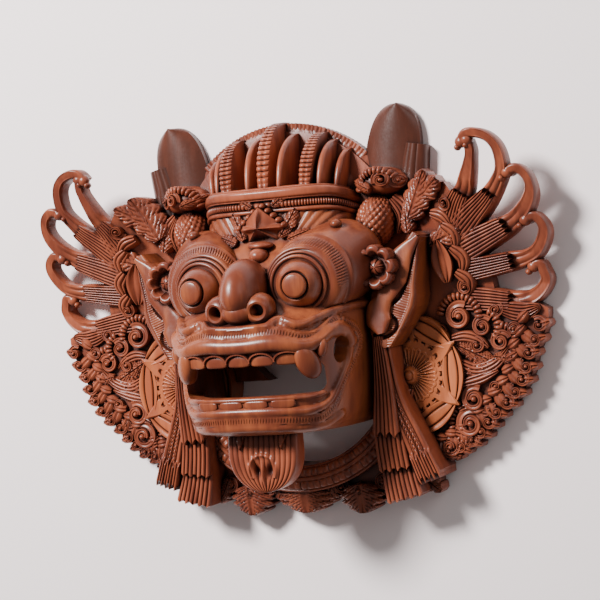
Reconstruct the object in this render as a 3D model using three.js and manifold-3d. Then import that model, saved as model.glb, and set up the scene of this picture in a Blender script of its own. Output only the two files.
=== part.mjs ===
// A carved wooden Barong mask: a hollow lion-like head with bulging eyes and an open mouth, a crest of
// fins, ears with flower studs, sashes, and a pierced ruff of feathers and scrolls behind it.
// Millimetres. X runs to the viewer's right, Y up the face, and Z out of the flat back.
import * as THREE from "three";
import { mergeVertices } from "three/addons/utils/BufferGeometryUtils.js";
import Module from "manifold-3d";

const wasm = await Module();
wasm.setup();

// Driving sizes of the head
const headWall = 10; // thickness of the head's shell
const headSquareness = 3; // exponent of the head's rounded plan
const headRows = [
  // height up the face, half width, depth from the back to the front
  [-96, 57, 99],
  [-90, 62, 108],
  [-72, 66, 111],
  [-50, 68, 112],
  [-34, 70, 114],
  [-22, 71, 112],
  [-13, 71, 99],
  [2, 70, 84],
  [20, 68, 71],
  [37, 62, 56],
  [54, 57, 51],
  [70, 53, 53],
];
const mouthHalfWidth = 53;
const mouthTop = -46;
const mouthBottom = -69;
const mouthCorner = 7; // corner radius of the mouth
const cheekHoleWidth = 13;
const cheekHoleHeight = 19;
const jawOpening = 44; // height of the gap under the jaw, from the back

// Driving sizes of the ruff
const plateThickness = 14;
const neckRadius = 76;
const neckCentreY = -51;
const collarWidth = 19;
const collarRise = 17;
const rimRadius = 129;
const rimCentreX = 62;
const rimCentreY = -8;
const rimLobe = 3; // how far the small lobes of the rim stand out
const rootRadius = 152; // arc that joins the roots of the feathers
const rootCentreY = -14;
const rimEndTurn = 91; // turn from straight down at which the rim ends under the lowest feather
const rootEndTurn = 127; // the same for the root arc, beside the innermost feather
const ruffBottomY = -150;
const bottomLeafLength = 21;
const flareSlope = 0.34; // the feathers lean forward by this much for each millimetre of height
const flareStartY = -8;
const flareInnerX = 88;
const flareOuterX = 140;

// Driving sizes of the crest
const crestRadius = 94;
const crestCentreY = 28;
const crestSpread = 100; // degrees that the crest's bed spans
const crestBedShare = 0.45; // height of the bed behind the forehead, as a share of the forehead's depth
const finThickness = 8;
const crestFins = [
  // root's distance from the middle, tip's turn, tip's drop below the crest's arc, share of the thickness
  [0, 0, 1, 1],
  [12, 9, 9, 0.55],
  [30, 21.7, 4.7, 1],
  [39, 28.6, 6.3, 0.55],
  [48, 36.6, 6.8, 0.55],
];
const bandY = 68;
const bandHeight = 9;
const bandProud = 5;

// Driving sizes of the face
const eye = { x: 37, y: 5, z: 82, ball: 16.5, pupil: 8.3, lidInner: 18.5, lidOuter: 24, lidThickness: 2.6 };
const nose = { y: 3, z: 93, halfWidth: 15, halfHeight: 22, reach: 29 };
const nostril = { x: 15, y: -10, z: 108, ring: 9, hole: 4.2, depth: 9 };
const toothWidth = 17;
const toothHeight = 13;
const fangX = 44;
const fangLength = 22;
const tongue = { z: 86, top: -90, bottom: -137, halfWidth: 26, thickness: 12 };
const jewel = { y: 45, halfWidth: 17.5, height: 30, proud: 13 };

// Driving sizes of the ornaments
const flower = { x: 81, y: 12, z: 56, radius: 15.5, petals: 8, cup: 5 };
const rosette = {
  x: 89,
  y: -66,
  disc: 24,
  petalRing: 30,
  petalLength: 37,
  petalWidth: 15,
  petals: 6,
  rise: 9,
  stretch: 1.12, // the ring of petals is taller than it is wide
};
const earStand = 42; // height of the ear's top above the flat back
const sashStand = 46; // the same of the sash
const scrollTurns = 1.1;
const bladeWidth = 34;
const carvingTolerance = 1; // facets closer than this to the form are merged

const { degToRad: rad, radToDeg: degrees, lerp, clamp, smoothstep } = THREE.MathUtils;
const each = (count, make) => Array.from({ length: count }, (_, i) => make(i));

// One closed mesh as a solid that faces out
function solid(geometry) {
  const bare = geometry.clone();
  bare.deleteAttribute("normal");
  bare.deleteAttribute("uv");
  const merged = mergeVertices(bare, 1e-4);
  const triVerts = new Uint32Array(merged.index.array);
  const vertProperties = merged.attributes.position.array;
  const made = new wasm.Manifold(new wasm.Mesh({ numProp: 3, vertProperties, triVerts }));
  if (made.volume() > 0) return made;
  for (let i = 0; i < triVerts.length; i += 3)
    [triVerts[i + 1], triVerts[i + 2]] = [triVerts[i + 2], triVerts[i + 1]];
  return new wasm.Manifold(new wasm.Mesh({ numProp: 3, vertProperties, triVerts }));
}

// Quads between two loops of a mesh that starts each loop at a multiple of its count
function bridge(index, from, to, count) {
  for (let i = 0; i < count; i++) {
    const j = (i + 1) % count;
    index.push(from * count + i, from * count + j, to * count + j);
    index.push(from * count + i, to * count + j, to * count + i);
  }
}

// A solid skinned over loops of points, each with the same count, and closed by a fan at both ends
function loft(loops) {
  const count = loops[0].length;
  const points = loops.flat();
  const index = [];
  for (let r = 0; r + 1 < loops.length; r++) bridge(index, r, r + 1, count);
  for (const r of [0, loops.length - 1]) {
    const middle = points.length;
    const centre = new THREE.Vector3();
    loops[r].forEach((p) => centre.addScaledVector(p, 1 / count));
    points.push(centre);
    for (let i = 0; i < count; i++) {
      const pair = [r * count + i, r * count + ((i + 1) % count)];
      index.push(middle, ...(r ? pair : pair.reverse()));
    }
  }
  const geometry = new THREE.BufferGeometry().setFromPoints(points);
  geometry.setIndex(index);
  return solid(geometry);
}

// A ring-shaped solid: each loop joined to the next, and the last to the first
function ringOf(loops) {
  const index = [];
  loops.forEach((_, r) => bridge(index, r, (r + 1) % loops.length, loops[0].length));
  const geometry = new THREE.BufferGeometry().setFromPoints(loops.flat());
  geometry.setIndex(index);
  return solid(geometry);
}

const union = (solids) => wasm.Manifold.union(solids);
const bothSides = (one) => union([one, one.mirror([1, 0, 0])]);

// A smooth line through [x, y] points, as samples with their share t of the length
function line(points, count) {
  const curve = new THREE.CatmullRomCurve3(points.map(([x, y]) => new THREE.Vector3(x, y, 0)));
  return each(count + 1, (i) => {
    const p = curve.getPointAt(i / count);
    return { x: p.x, y: p.y, t: i / count, along: curve.getTangentAt(i / count) };
  });
}

// A straight line from a point along a direction given in degrees
function straight(x, y, turn, length, count) {
  const along = new THREE.Vector2(Math.cos(rad(turn)), Math.sin(rad(turn)));
  return each(count + 1, (i) => {
    const t = i / count;
    return { x: x + along.x * length * t, y: y + along.y * length * t, t, along };
  });
}

// A carved strip that follows a line. width(t) is its half width, top and bottom give heights,
// shoulder is the share of the width that is level, and ridge raises a crest along the middle.
function strip(samples, { width, top, bottom, shoulder = 0.7, ridge = 0 }) {
  return loft(
    samples.map(({ x, y, t, along }) => {
      const side = new THREE.Vector2(along.y, -along.x).normalize();
      const w = Math.max(0.8, width(t));
      const high = top(x, y, t);
      const at = (u, z) => new THREE.Vector3(x + side.x * u * w, y + side.y * u * w, z);
      const crown = ridge ? [at(0, high + ridge)] : [];
      const low = bottom(x, y, t);
      return [at(-1, low), at(-shoulder, high), ...crown, at(shoulder, high), at(1, low)];
    }),
  );
}

// A point at t on a list of widths
function listed(values, t) {
  const at = clamp(t, 0, 1) * (values.length - 1);
  const i = Math.min(Math.floor(at), values.length - 2);
  return lerp(values[i], values[i + 1], at - i);
}

function placed(geometry, centre, tilt, scale = [1, 1, 1]) {
  const place = new THREE.Matrix4().compose(
    new THREE.Vector3(...centre),
    new THREE.Quaternion().setFromEuler(new THREE.Euler(...tilt.map(rad))),
    new THREE.Vector3(...scale),
  );
  return solid(geometry.applyMatrix4(place));
}

const ellipsoid = (centre, radii, tilt = [0, 0, 0], round = 12) =>
  placed(new THREE.SphereGeometry(1, round, Math.round(round * 0.6)), centre, tilt, radii);

// A solid turned from [radius, height] points about an axis that faces out of the wall
function turned(profile, centre, tilt = [0, 0, 0], round = 16) {
  const points = profile.map(([r, h]) => new THREE.Vector2(r, h));
  return placed(new THREE.LatheGeometry(points, round).rotateX(Math.PI / 2), centre, tilt);
}

// Height of the ruff's back and front above the flat back
const ruffBack = (x, y) =>
  flareSlope * Math.max(0, y - flareStartY) * smoothstep(Math.abs(x), flareInnerX, flareOuterX);
const ruffTop = (x, y) => plateThickness + ruffBack(x, y);

// Half width and depth of the head at a height
function headAt(y) {
  const i = clamp(headRows.filter((row) => row[0] < y).length - 1, 0, headRows.length - 2);
  const share = clamp((y - headRows[i][0]) / (headRows[i + 1][0] - headRows[i][0]), 0, 1);
  return [1, 2].map((k) => lerp(headRows[i][k], headRows[i + 1][k], share));
}

// A point of the head's skin: turn runs from -90 on the left cheek, over 0 in front, to 90 on the right
function headPoint(turn, y, inset = 0) {
  const [halfWidth, depth] = headAt(y);
  const power = 2 / headSquareness;
  const s = Math.sin(rad(turn));
  const c = Math.max(0, Math.cos(rad(turn)));
  const x = (halfWidth - inset) * Math.sign(s) * Math.abs(s) ** power;
  return new THREE.Vector3(x, y, (depth - inset) * c ** power);
}

// The turn at which the skin has a given x
function turnAt(x, y) {
  const share = Math.min(1, Math.abs(x) / headAt(y)[0]);
  return Math.sign(x) * degrees(Math.asin(share ** (headSquareness / 2)));
}

function headNormal(turn, y) {
  const step = 2;
  const across = headPoint(turn + step, y).sub(headPoint(turn - step, y));
  const up = headPoint(turn, y + step).sub(headPoint(turn, y - step));
  return across.cross(up).normalize();
}

// A raised roll on the head's skin along [turn, y] points given for the right half
function skinRoll(half, halfWidth, proud, count) {
  const left = half.filter(([turn]) => turn > 0).map(([turn, y]) => [-turn, y]);
  const route = [...left.reverse(), ...half].map(([turn, y]) => new THREE.Vector3(turn, y, 0));
  const points = new THREE.CatmullRomCurve3(route).getPoints(count);
  const samples = points.map((p) => ({ p: headPoint(p.x, p.y), n: headNormal(p.x, p.y) }));
  return loft(
    samples.map(({ p, n }, i) => {
      const before = samples[Math.max(0, i - 1)].p;
      const after = samples[Math.min(samples.length - 1, i + 1)].p;
      const side = after.clone().sub(before).cross(n).normalize();
      const at = (u, v) => p.clone().addScaledVector(side, u * halfWidth).addScaledVector(n, v);
      return [at(-1, -4), at(-0.7, proud * 0.75), at(0, proud), at(0.7, proud * 0.75), at(1, -4)];
    }),
  );
}

function headBlock(inset, backZ) {
  const turns = each(15, (i) => (Math.PI / 2) * (i / 7 - 1)).map(degrees);
  const heights = headRows.map((row) => row[0]);
  heights[0] += inset;
  heights[heights.length - 1] -= inset;
  return loft(
    heights.map((y) => {
      const front = turns.map((turn) => headPoint(turn, y, inset));
      const side = front[front.length - 1].x;
      return [...front, new THREE.Vector3(side, y, backZ), new THREE.Vector3(-side, y, backZ)];
    }),
  );
}

// Opening cut straight through the front of the head, with rounded corners
function mouthCut() {
  const w = mouthHalfWidth - mouthCorner;
  const low = mouthBottom + mouthCorner;
  const high = mouthTop - mouthCorner;
  const shape = new THREE.Shape();
  shape.absarc(w, low, mouthCorner, -Math.PI / 2, 0);
  shape.absarc(w, high, mouthCorner, 0, Math.PI / 2);
  shape.absarc(-w, high, mouthCorner, Math.PI / 2, Math.PI);
  shape.absarc(-w, low, mouthCorner, Math.PI, Math.PI * 1.5);
  const geometry = new THREE.ExtrudeGeometry(shape, { depth: 90, bevelEnabled: false, curveSegments: 3 });
  return solid(geometry.translate(0, 0, 50));
}

// Oval hole behind the corner of the mouth, bored along the skin's own direction
function cheekHole() {
  const turn = 55;
  const y = (mouthTop + mouthBottom) / 2 + 16;
  const geometry = new THREE.CylinderGeometry(cheekHoleWidth / 2, cheekHoleWidth / 2, headWall * 5, 12);
  geometry.rotateX(Math.PI / 2).scale(1, cheekHoleHeight / cheekHoleWidth, 1);
  const face = new THREE.Object3D();
  face.position.copy(headPoint(turn, y));
  face.lookAt(face.position.clone().add(headNormal(turn, y)));
  face.updateMatrix();
  return solid(geometry.applyMatrix4(face.matrix));
}

// Eye: a barrel that leans back into the brow, two lid rings, ball and flat pupil
function eyeball() {
  const { x, y, z, ball, pupil, lidInner, lidOuter, lidThickness } = eye;
  const tilt = [2, 6, 0];
  const ring = (radius, height) =>
    turned(
      [
        [0, -20],
        [radius + lidThickness, -20],
        [radius + lidThickness * 0.6, lidThickness * 0.6],
        [radius - lidThickness, 0],
        [0, -3],
      ],
      [x, y, z + height],
      tilt,
      16,
    );
  const button = [
    [0, 0],
    [pupil, 0],
    [pupil, ball + 2],
    [0, ball + 4],
  ];
  const barrel = [[0, 0.6], [3, 1.12], [16, 1.22], [40, 1.25], [58, 0.7]].map(([back, share]) =>
    each(12, (i) => {
      const a = (i * Math.PI) / 6;
      const r = lidOuter * share;
      const [centreX, centreY] = [x + 0.34 * back, y + 0.3 * back];
      return new THREE.Vector3(centreX + r * Math.cos(a), centreY + r * Math.sin(a), z + 1 - back);
    }),
  );
  return union([
    loft(barrel),
    ring(lidOuter, 2),
    ring(lidInner, 9),
    ellipsoid([x, y, z + 1], [ball, ball, ball + 2], tilt, 14),
    turned(button, [x + 0.8, y, z], tilt, 12),
  ]);
}

function noseBulb() {
  const { y, z, halfWidth, halfHeight, reach } = nose;
  const rim = [
    [0, -14],
    [nostril.ring, -14],
    [nostril.ring, 4],
    [nostril.hole, 7],
    [nostril.hole, 6 - nostril.depth],
    [0, 6 - nostril.depth],
  ];
  return union([
    ellipsoid([0, y, z], [halfWidth, halfHeight, reach], [10, 0, 0], 14),
    ellipsoid([0, nostril.y - 1, nostril.z - 2], [12, 8, 12], [0, 0, 0], 8),
    bothSides(turned(rim, [nostril.x, nostril.y, nostril.z], [8, 10, 0], 10)),
  ]);
}

// Rolls of the lips, of the stitched band above them and of the chin
function mouthRolls() {
  const lipTop = mouthTop + 15;
  const lipLow = mouthBottom - 10;
  const above = (points) => points.map(([turn, rise]) => [turn, lipTop + rise]);
  const below = (points) => points.map(([turn, rise]) => [turn, lipLow + rise]);
  return union([
    skinRoll(above([[0, 1], [20, -2], [42, 0], [58, 4], [66, -7]]), 5.5, 5, 18),
    skinRoll(below([[0, 0], [24, 0], [46, 2], [58, 13], [66, 29]]), 5, 4.5, 16),
    skinRoll(above([[0, 12], [18, 9], [40, 10], [60, 19], [76, 15]]), 3.2, 4.5, 18),
    skinRoll(below([[0, -11], [40, -12], [62, -5]]), 5, 4, 10),
  ]);
}

// A rounded tooth that lies on the skin
function tooth(x, y, halfWidth, halfHeight, thickness) {
  const p = headPoint(turnAt(x, y), y);
  const n = headNormal(turnAt(x, y), y);
  const facing = degrees(Math.atan2(n.x, n.z));
  return ellipsoid(p.toArray(), [halfWidth, halfHeight, thickness], [0, facing, 0], 8);
}

// Blunt fang beside the row of teeth
function fang() {
  const root = headPoint(turnAt(fangX, mouthTop + 8), mouthTop + 8);
  return loft(
    [0, 0.5, 0.85, 1].map((t) => {
      const r = 8.5 * Math.sqrt(1.04 - t ** 2.4);
      const [x, y] = [root.x + 3 * t, root.y - fangLength * t];
      return each(6, (i) => {
        const a = (i * Math.PI) / 3;
        const out = r * (0.7 * Math.sin(a) - 0.5 * Math.cos(a));
        return new THREE.Vector3(x + r * Math.cos(a), y, root.z - 2 + out);
      });
    }),
  );
}

function teeth() {
  const upper = [-2, -1, 0, 1, 2].map((i) =>
    tooth(toothWidth * i, mouthTop + 6, toothWidth / 2, toothHeight / 2, 5),
  );
  const lower = [-1.5, -0.5, 0.5, 1.5].map((i) =>
    tooth(1.1 * toothWidth * i, mouthBottom - 1, toothWidth * 0.52, toothHeight * 0.35, 4),
  );
  return union([...upper, ...lower, bothSides(fang())]);
}

// Tongue that hangs from the chin, with a carved boss on it
function tonguePlate() {
  const { z, top, bottom, halfWidth, thickness } = tongue;
  const plate = strip(straight(0, top, -90, top - bottom, 6), {
    width: (t) => halfWidth * Math.sqrt(Math.max(0.02, 1 - Math.max(0, (t - 0.35) / 0.65) ** 2.6)),
    top: (x, y, t) => z + 3 * Math.sin(Math.PI * t),
    bottom: () => z - thickness,
    shoulder: 0.88,
    ridge: 2,
  });
  return union([plate, ellipsoid([0, bottom + 15, z + 3], [6, 11, 5], [0, 0, 0], 6)]);
}

// Crest: a low bed behind the forehead, and tall fins on it that arch from the forehead back to the wall
function crest() {
  const arc = (radius, z) =>
    each(11, (i) => {
      const a = rad(crestSpread * (i / 10 - 0.5));
      return [radius * Math.sin(a), crestCentreY + radius * Math.cos(a), z];
    });
  const brow = each(11, (i) => {
    const p = headPoint(-85 + 17 * i, bandY);
    return [p.x, p.y, p.z * crestBedShare];
  });
  const inner = [-50, 50].map((x) => [x, crestCentreY, 2]);
  const arcs = [...arc(crestRadius - 2, 1), ...arc(crestRadius - 4, 8)];
  const bed = wasm.Manifold.hull([...brow, ...inner, ...arcs]);
  const fin = ([rootX, turn, drop, share], side) => {
    const reach = crestRadius - drop;
    const [tipX, tipY] = [side * reach * Math.sin(rad(turn)), crestCentreY + reach * Math.cos(rad(turn))];
    const root = headPoint(side * turnAt(rootX, bandY), bandY);
    const along = new THREE.Vector2(tipX - root.x, tipY - root.y).normalize();
    const samples = each(6, (k) => {
      const t = Math.sin((Math.PI / 2) * (k / 5));
      return { x: lerp(root.x, tipX, t), y: lerp(root.y, tipY, t), t, along };
    });
    return strip(samples, {
      width: (t) => (finThickness / 2) * share * (0.85 + 0.3 * Math.sin(Math.PI * t)),
      top: (x, y, t) => 8 + (root.z - 9) * (1 - t ** 2.3) ** (1 / 2.3),
      bottom: () => 1,
      shoulder: 0.7,
    });
  };
  const fins = crestFins.flatMap((one) => (one[0] ? [fin(one, 1), fin(one, -1)] : [fin(one, 1)]));
  return union([bed, ...fins]);
}

function foreheadBand() {
  const drop = bandHeight * 0.85;
  const band = [[0, bandY + 1], [50, bandY], [82, bandY - 6]];
  return union([
    skinRoll(band, bandHeight / 2, bandProud, 10),
    skinRoll(band.map(([turn, y]) => [turn, y - drop]), bandHeight * 0.25, bandProud * 0.7, 10),
  ]);
}

// Faceted jewel above the nose, with the bead below it
function foreheadJewel() {
  const { y, halfWidth, height, proud } = jewel;
  const z = headAt(y)[1] + 3;
  const outline = [[0, 0.5], [1, 0], [0.7, -0.32], [-0.7, -0.32], [-1, 0]];
  const ring = (share, out) =>
    outline.map(([u, v]) => new THREE.Vector3(u * halfWidth * share, y + v * height * share, z + out));
  return union([
    loft([ring(1, -14), ring(1.05, 0), ring(0.15, proud)]),
    ellipsoid([0, 26, 66], [7, 6, 8], [0, 0, 0], 8),
  ]);
}

// Centre line of each feather of the right wing, from the inner one outwards and down, in hundredths
// of the root arc's radius from that arc's centre, and the feather's widths along it
const feathers = [
  {
    points: [
      [82.9, 30.3], [89.5, 42.8], [94.1, 49.3], [96.7, 55.3], [98.7, 60.5], [100, 65.8], [99.3, 70.4],
    ],
    widths: [20, 20, 16, 13, 10, 7, 7],
  },
  {
    points: [
      [80.3, 23.7], [95.4, 36.8], [103.9, 44.1], [109.2, 50], [112.5, 55.3], [113.2, 61.2], [111.8, 67.1],
      [108.6, 71.1], [103.9, 73], [99.3, 73], [96.7, 69.7],
    ],
    widths: [24, 21, 20, 17, 14, 11, 9, 8, 7, 7, 7],
  },
  {
    points: [
      [82.9, 19.1], [98, 25.7], [105.9, 28.9], [111.8, 31.6], [117.8, 35.5], [122.4, 40.8], [124.3, 45.4],
      [124.3, 50], [122.4, 53.9], [119.1, 55.9], [115.1, 54.6],
    ],
    widths: [18, 20, 20, 18, 16, 13, 12, 10, 7, 7, 7],
  },
  {
    points: [
      [82.9, 11.2], [98.7, 13.2], [107.9, 14.5], [116.4, 15.8], [122.4, 18.4], [126.3, 23.7],
      [127.6, 28.3], [126.3, 32.2], [123.7, 34.2], [119.7, 32.9],
    ],
    widths: [18, 17, 16, 15, 14, 11, 10, 9, 7, 7],
  },
  {
    points: [
      [82.9, 0], [97.4, -2], [107.9, -3.3], [117.8, -2], [123, 2], [125, 5.9], [124.3, 9.2], [123, 12.5],
      [119.7, 11.8],
    ],
    widths: [20, 18, 17, 16, 13, 11, 9, 8, 7],
  },
];
const onRootArc = ([x, y]) => [(x * rootRadius) / 100, rootCentreY + (y * rootRadius) / 100];

// Feather: a grooved lower blade that ends in a step, and an arm that hooks back to the next feather
function feather({ points, widths }) {
  const route = points.map(onRootArc);
  const samples = line(route, 10);
  const arm = strip(samples, {
    width: (t) => listed(widths, t) / 2,
    top: ruffTop,
    bottom: (x, y) => ruffBack(x, y) + 2,
    shoulder: 0.75,
  });
  const blade = strip([samples[1], samples[2], samples[4]], {
    width: (t) => (listed(widths, t) / 2) * 0.95,
    top: (x, y) => ruffTop(x, y) + 4,
    bottom: (x, y) => ruffBack(x, y) + 4,
    shoulder: 0.85,
  });
  const [x, y] = route[route.length - 1];
  return union([arm, blade, ellipsoid([x, y, ruffTop(x, y) - 4], [4.6, 4.6, 6], [0, 0, 0], 6)]);
}

// Distance from the ruff's centre to its edge, for a turn from straight down (0) to straight up (180)
const ruffCentreY = -30;
function ruffEdge(turn) {
  const direction = new THREE.Vector2(Math.sin(rad(turn)), -Math.cos(rad(turn)));
  const reachOf = (cx, cy, radius) => {
    const offset = new THREE.Vector2(cx, cy - ruffCentreY);
    const along = offset.dot(direction);
    return along + Math.sqrt(Math.max(0, radius ** 2 - (offset.lengthSq() - along ** 2)));
  };
  const lobe = rimLobe * Math.abs(Math.sin(rad(turn * 11)));
  const rim = reachOf(rimCentreX, rimCentreY, rimRadius - rimLobe) + lobe;
  const root = reachOf(0, rootCentreY, rootRadius);
  const crestArc = reachOf(0, crestCentreY, crestRadius - 8);
  if (turn < 32) return (ruffCentreY - ruffBottomY) / Math.cos(rad(turn)) + lobe;
  if (turn < rimEndTurn) return rim;
  if (turn < rootEndTurn) return lerp(rim, root, smoothstep(turn, rimEndTurn, rimEndTurn + 6));
  return lerp(root - 3, crestArc, smoothstep(turn, rootEndTurn, rootEndTurn + 9));
}

// The ruff: a ring-shaped plate, dished forward where the feathers grow from it
function ruffPlate() {
  const spokes = 66;
  const inner = 42;
  const loop = (share, height) =>
    each(spokes, (s) => {
      const turn = (360 * s) / spokes;
      const side = turn > 180 ? -1 : 1;
      const half = side > 0 ? turn : 360 - turn;
      const r = lerp(inner, ruffEdge(half), share);
      const [x, y] = [side * r * Math.sin(rad(half)), ruffCentreY - r * Math.cos(rad(half))];
      return new THREE.Vector3(x, y, height(x, y));
    });
  const shares = [0, 0.5, 1];
  return ringOf([
    ...shares.map((share) => loop(share, ruffTop)),
    ...[...shares].reverse().map((share) => loop(share, ruffBack)),
  ]);
}

// Opening for the wearer's chin: the lower part of a circle, below the cheeks
function neckCut() {
  const profile = [[0, -40], [neckRadius, -40], [neckRadius, 60], [0, 60]];
  const circle = turned(profile, [0, neckCentreY, 0], [0, 0, 0], 36);
  const reach = 2 * neckRadius;
  const lower = new THREE.BoxGeometry(reach, reach, 200);
  return circle.intersect(solid(lower.translate(0, neckCentreY - 14 - reach / 2, 0)));
}

// Raised collar that follows the lower half of the neck opening
function collar() {
  const middle = neckRadius + collarWidth / 2;
  const samples = each(13, (i) => {
    const a = rad(-165 + (150 * i) / 12);
    const along = new THREE.Vector2(-Math.sin(a), Math.cos(a));
    return { x: middle * Math.cos(a), y: neckCentreY + middle * Math.sin(a), t: i / 12, along };
  });
  return strip(samples, {
    width: () => collarWidth / 2,
    top: () => plateThickness + collarRise - 3,
    bottom: () => 1,
    shoulder: 0.75,
    ridge: 3,
  });
}

// Rosette of the ruff: a sun disc inside a ring of long petals
function sunRosette() {
  const { x, y, disc, petalRing, petalLength, petalWidth, petals, rise, stretch } = rosette;
  const z = plateThickness;
  const sun = [
    [0, -8],
    [disc + 3, -8],
    [disc + 3, rise - 3],
    [disc - 4, rise],
    [8, rise + 2],
    [6, rise + 6],
    [0, rise + 7],
  ];
  const petal = (i) => {
    const a = (i * 2 * Math.PI) / petals;
    const out = new THREE.Vector2(Math.cos(a), Math.sin(a));
    const along = new THREE.Vector2(-out.y, out.x);
    const samples = each(5, (k) => {
      const s = (k / 4 - 0.5) * petalLength;
      const r = petalRing + 1 - (4 * s ** 2) / petalLength ** 2;
      const up = stretch * (out.y * r + along.y * s);
      return { x: x + out.x * r + along.x * s, y: y + up, t: k / 4, along };
    });
    return strip(samples, {
      width: (t) => (petalWidth / 2) * Math.sin(Math.PI * (0.05 + 0.9 * t)) ** 0.8,
      top: () => z + rise - 2,
      bottom: () => 2,
      shoulder: 0.8,
    });
  };
  return union([turned(sun, [x, y, z], [0, 0, 0], 18), ...each(petals, petal)]);
}

// Flower stud in front of the ear: a cup with a wavy rim round a button, on a stem
function flowerStud() {
  const { x, y, z, radius, petals, cup } = flower;
  const ring = (share, height, wave) =>
    each(petals * 2, (i) => {
      const a = (i * Math.PI) / petals;
      const r = radius * share * (1 - wave * (1 - Math.abs(Math.cos((petals * a) / 2))));
      return new THREE.Vector3(x + r * Math.cos(a), y + r * Math.sin(a), z + height);
    });
  return union([
    loft([ring(0.65, -46, 0), ring(0.8, -6, 0), ring(1, 2, 0.16), ring(0.55, 3 - cup, 0)]),
    ellipsoid([x, y, z + 1 - cup], [radius * 0.42, radius * 0.42, 6], [0, 0, 0], 8),
  ]);
}

// Ear: a broad curled leaf that stands clear of the ruff, with a raised flange that ends in a lobe
function ear() {
  const edge = line([[108, 33], [104, 24], [100, 15], [94, 2], [88, -14], [83, -30], [83, -44]], 8);
  const outer = strip(edge, {
    width: (t) => listed([3, 5.5, 8, 10.3, 12.6, 15.5, 16.2, 15, 13.5, 10.5, 3], t),
    top: (x, y, t) => earStand + 8 * t,
    bottom: () => 2,
    shoulder: 0.9,
  });
  const inner = strip(line([[110, 31], [98, 18], [90, 2], [83, -11], [79, -20], [81, -34]], 8), {
    width: (t) => listed([1.5, 4.5, 7, 9, 10, 8, 6.2, 8.5, 9, 3], t),
    top: (x, y, t) => earStand + 3 + 9 * t,
    bottom: () => 4,
    shoulder: 0.8,
  });
  return union([outer, inner]);
}

// Sash: a ribbon, and a tail of three stepped tiers, that hang from the ear over the ruff
function sash() {
  const fall = (points, near, far, high, low) =>
    strip(line(points, 3), {
      width: (t) => lerp(near, far, t),
      top: (x, y, t) => lerp(high, low, t),
      bottom: () => 3,
      shoulder: 0.9,
      ridge: 2,
    });
  return union([
    fall([[77, -36], [77, -70], [75, -107]], 4, 10, sashStand + 4, sashStand - 1),
    fall([[76, -90], [76, -112], [78, -131]], 11, 12, sashStand - 5, sashStand - 4),
    fall([[77, -118], [80, -138], [83, -152]], 12, 14, sashStand - 11, sashStand - 7),
    fall([[80, -42], [83, -78], [94, -110], [104, -139]], 4, 9, sashStand + 1, sashStand - 7),
  ]);
}

// Centre, radius, starting turn, sense and rise of each scroll, from the feathers round to the sash
const scrolls = [
  [127, -27, 9, 60, 1, 9],
  [143, -35, 7, 40, 1, 7],
  [155, -46, 7, 20, 1, 6],
  [138, -48, 6, 200, -1, 7],
  [133, -85, 8.5, 60, 1, 8],
  [129, -102, 9.5, 70, 1, 8],
  [149, -77, 5, 40, -1, 6],
  [113, -118, 7, 120, -1, 7],
  [119, 14, 8, 250, 1, 9],
  [112, 60, 9, 20, 1, 8],
];

// A spiral scroll that stands on the ruff
function scroll([cx, cy, radius, start, sense, rise]) {
  const samples = each(7, (i) => {
    const t = i / 6;
    const a = rad(start) + sense * scrollTurns * 2 * Math.PI * t;
    const r = radius * (1 - 0.75 * t);
    const along = new THREE.Vector2(-Math.sin(a), Math.cos(a)).multiplyScalar(sense);
    return { x: cx + r * Math.cos(a), y: cy + r * Math.sin(a), t, along };
  });
  return strip(samples, {
    width: (t) => radius * (0.34 - 0.12 * t),
    top: (x, y, t) => ruffTop(x, y) + rise * (0.6 + 0.4 * t),
    bottom: (x, y) => ruffBack(x, y) + 4,
    shoulder: 0.6,
  });
}

// Root, turn, length, width and rise of the leaves on the rim, at the bottom and beside the crest
const leaves = [
  ...each(6, (i) => {
    const turn = 83 - 5.4 * i;
    const r = ruffEdge(turn) - 18;
    const [x, y] = [r * Math.sin(rad(turn)), ruffCentreY - r * Math.cos(rad(turn))];
    const out = degrees(Math.atan2(y - rimCentreY, x - rimCentreX));
    return [x, y, out + 14, 18, 15, 7];
  }),
  [122, -46, -28, 36, 12, 6],
  [126, -66, 12, 30, 12, 6],
  [43, -142, -88, bottomLeafLength, 34, 11],
  [98, 44, 62, 36, 24, 12],
  [112, 24, 20, 26, 18, 8],
  [106, 56, 34, 24, 18, 10],
];

function leaf([x, y, turn, length, width, rise]) {
  return strip(straight(x, y, turn, length, 3), {
    width: (t) => (width / 2) * Math.sin(Math.PI * (0.14 + 0.8 * t)) ** 0.7,
    top: (u, v, t) => ruffTop(u, v) + rise * (0.7 - 0.3 * t),
    bottom: (u, v) => ruffBack(u, v) + 1,
    shoulder: 0.65,
  });
}

// Plain leaf-shaped blade that stands up behind the crest, with a lower one on its outer side
function hornBlade() {
  const shape = { bottom: () => 1, shoulder: 0.5, ridge: 3 };
  const tall = strip(line([[80, 50], [82, 80], [86, 104], [91, 127]], 8), {
    ...shape,
    width: (t) => (bladeWidth / 2 + 4) * Math.sqrt(1 - t ** 5),
    top: () => plateThickness - 4,
  });
  const low = strip(line([[94, 50], [98, 76], [102, 96]], 3), {
    ...shape,
    width: (t) => (bladeWidth / 3.2) * (1 - 0.25 * t ** 2),
    top: () => plateThickness - 2,
  });
  return union([tall, low]);
}

// Scaly teardrop between the crest and the flower, and the curl over it
function teardrop() {
  return union([
    ellipsoid([72, 44, 20], [14, 19, 19], [0, 0, -12], 10),
    ellipsoid([77, 71, 16], [19, 11, 20], [0, 0, 0], 8),
  ]);
}

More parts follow.
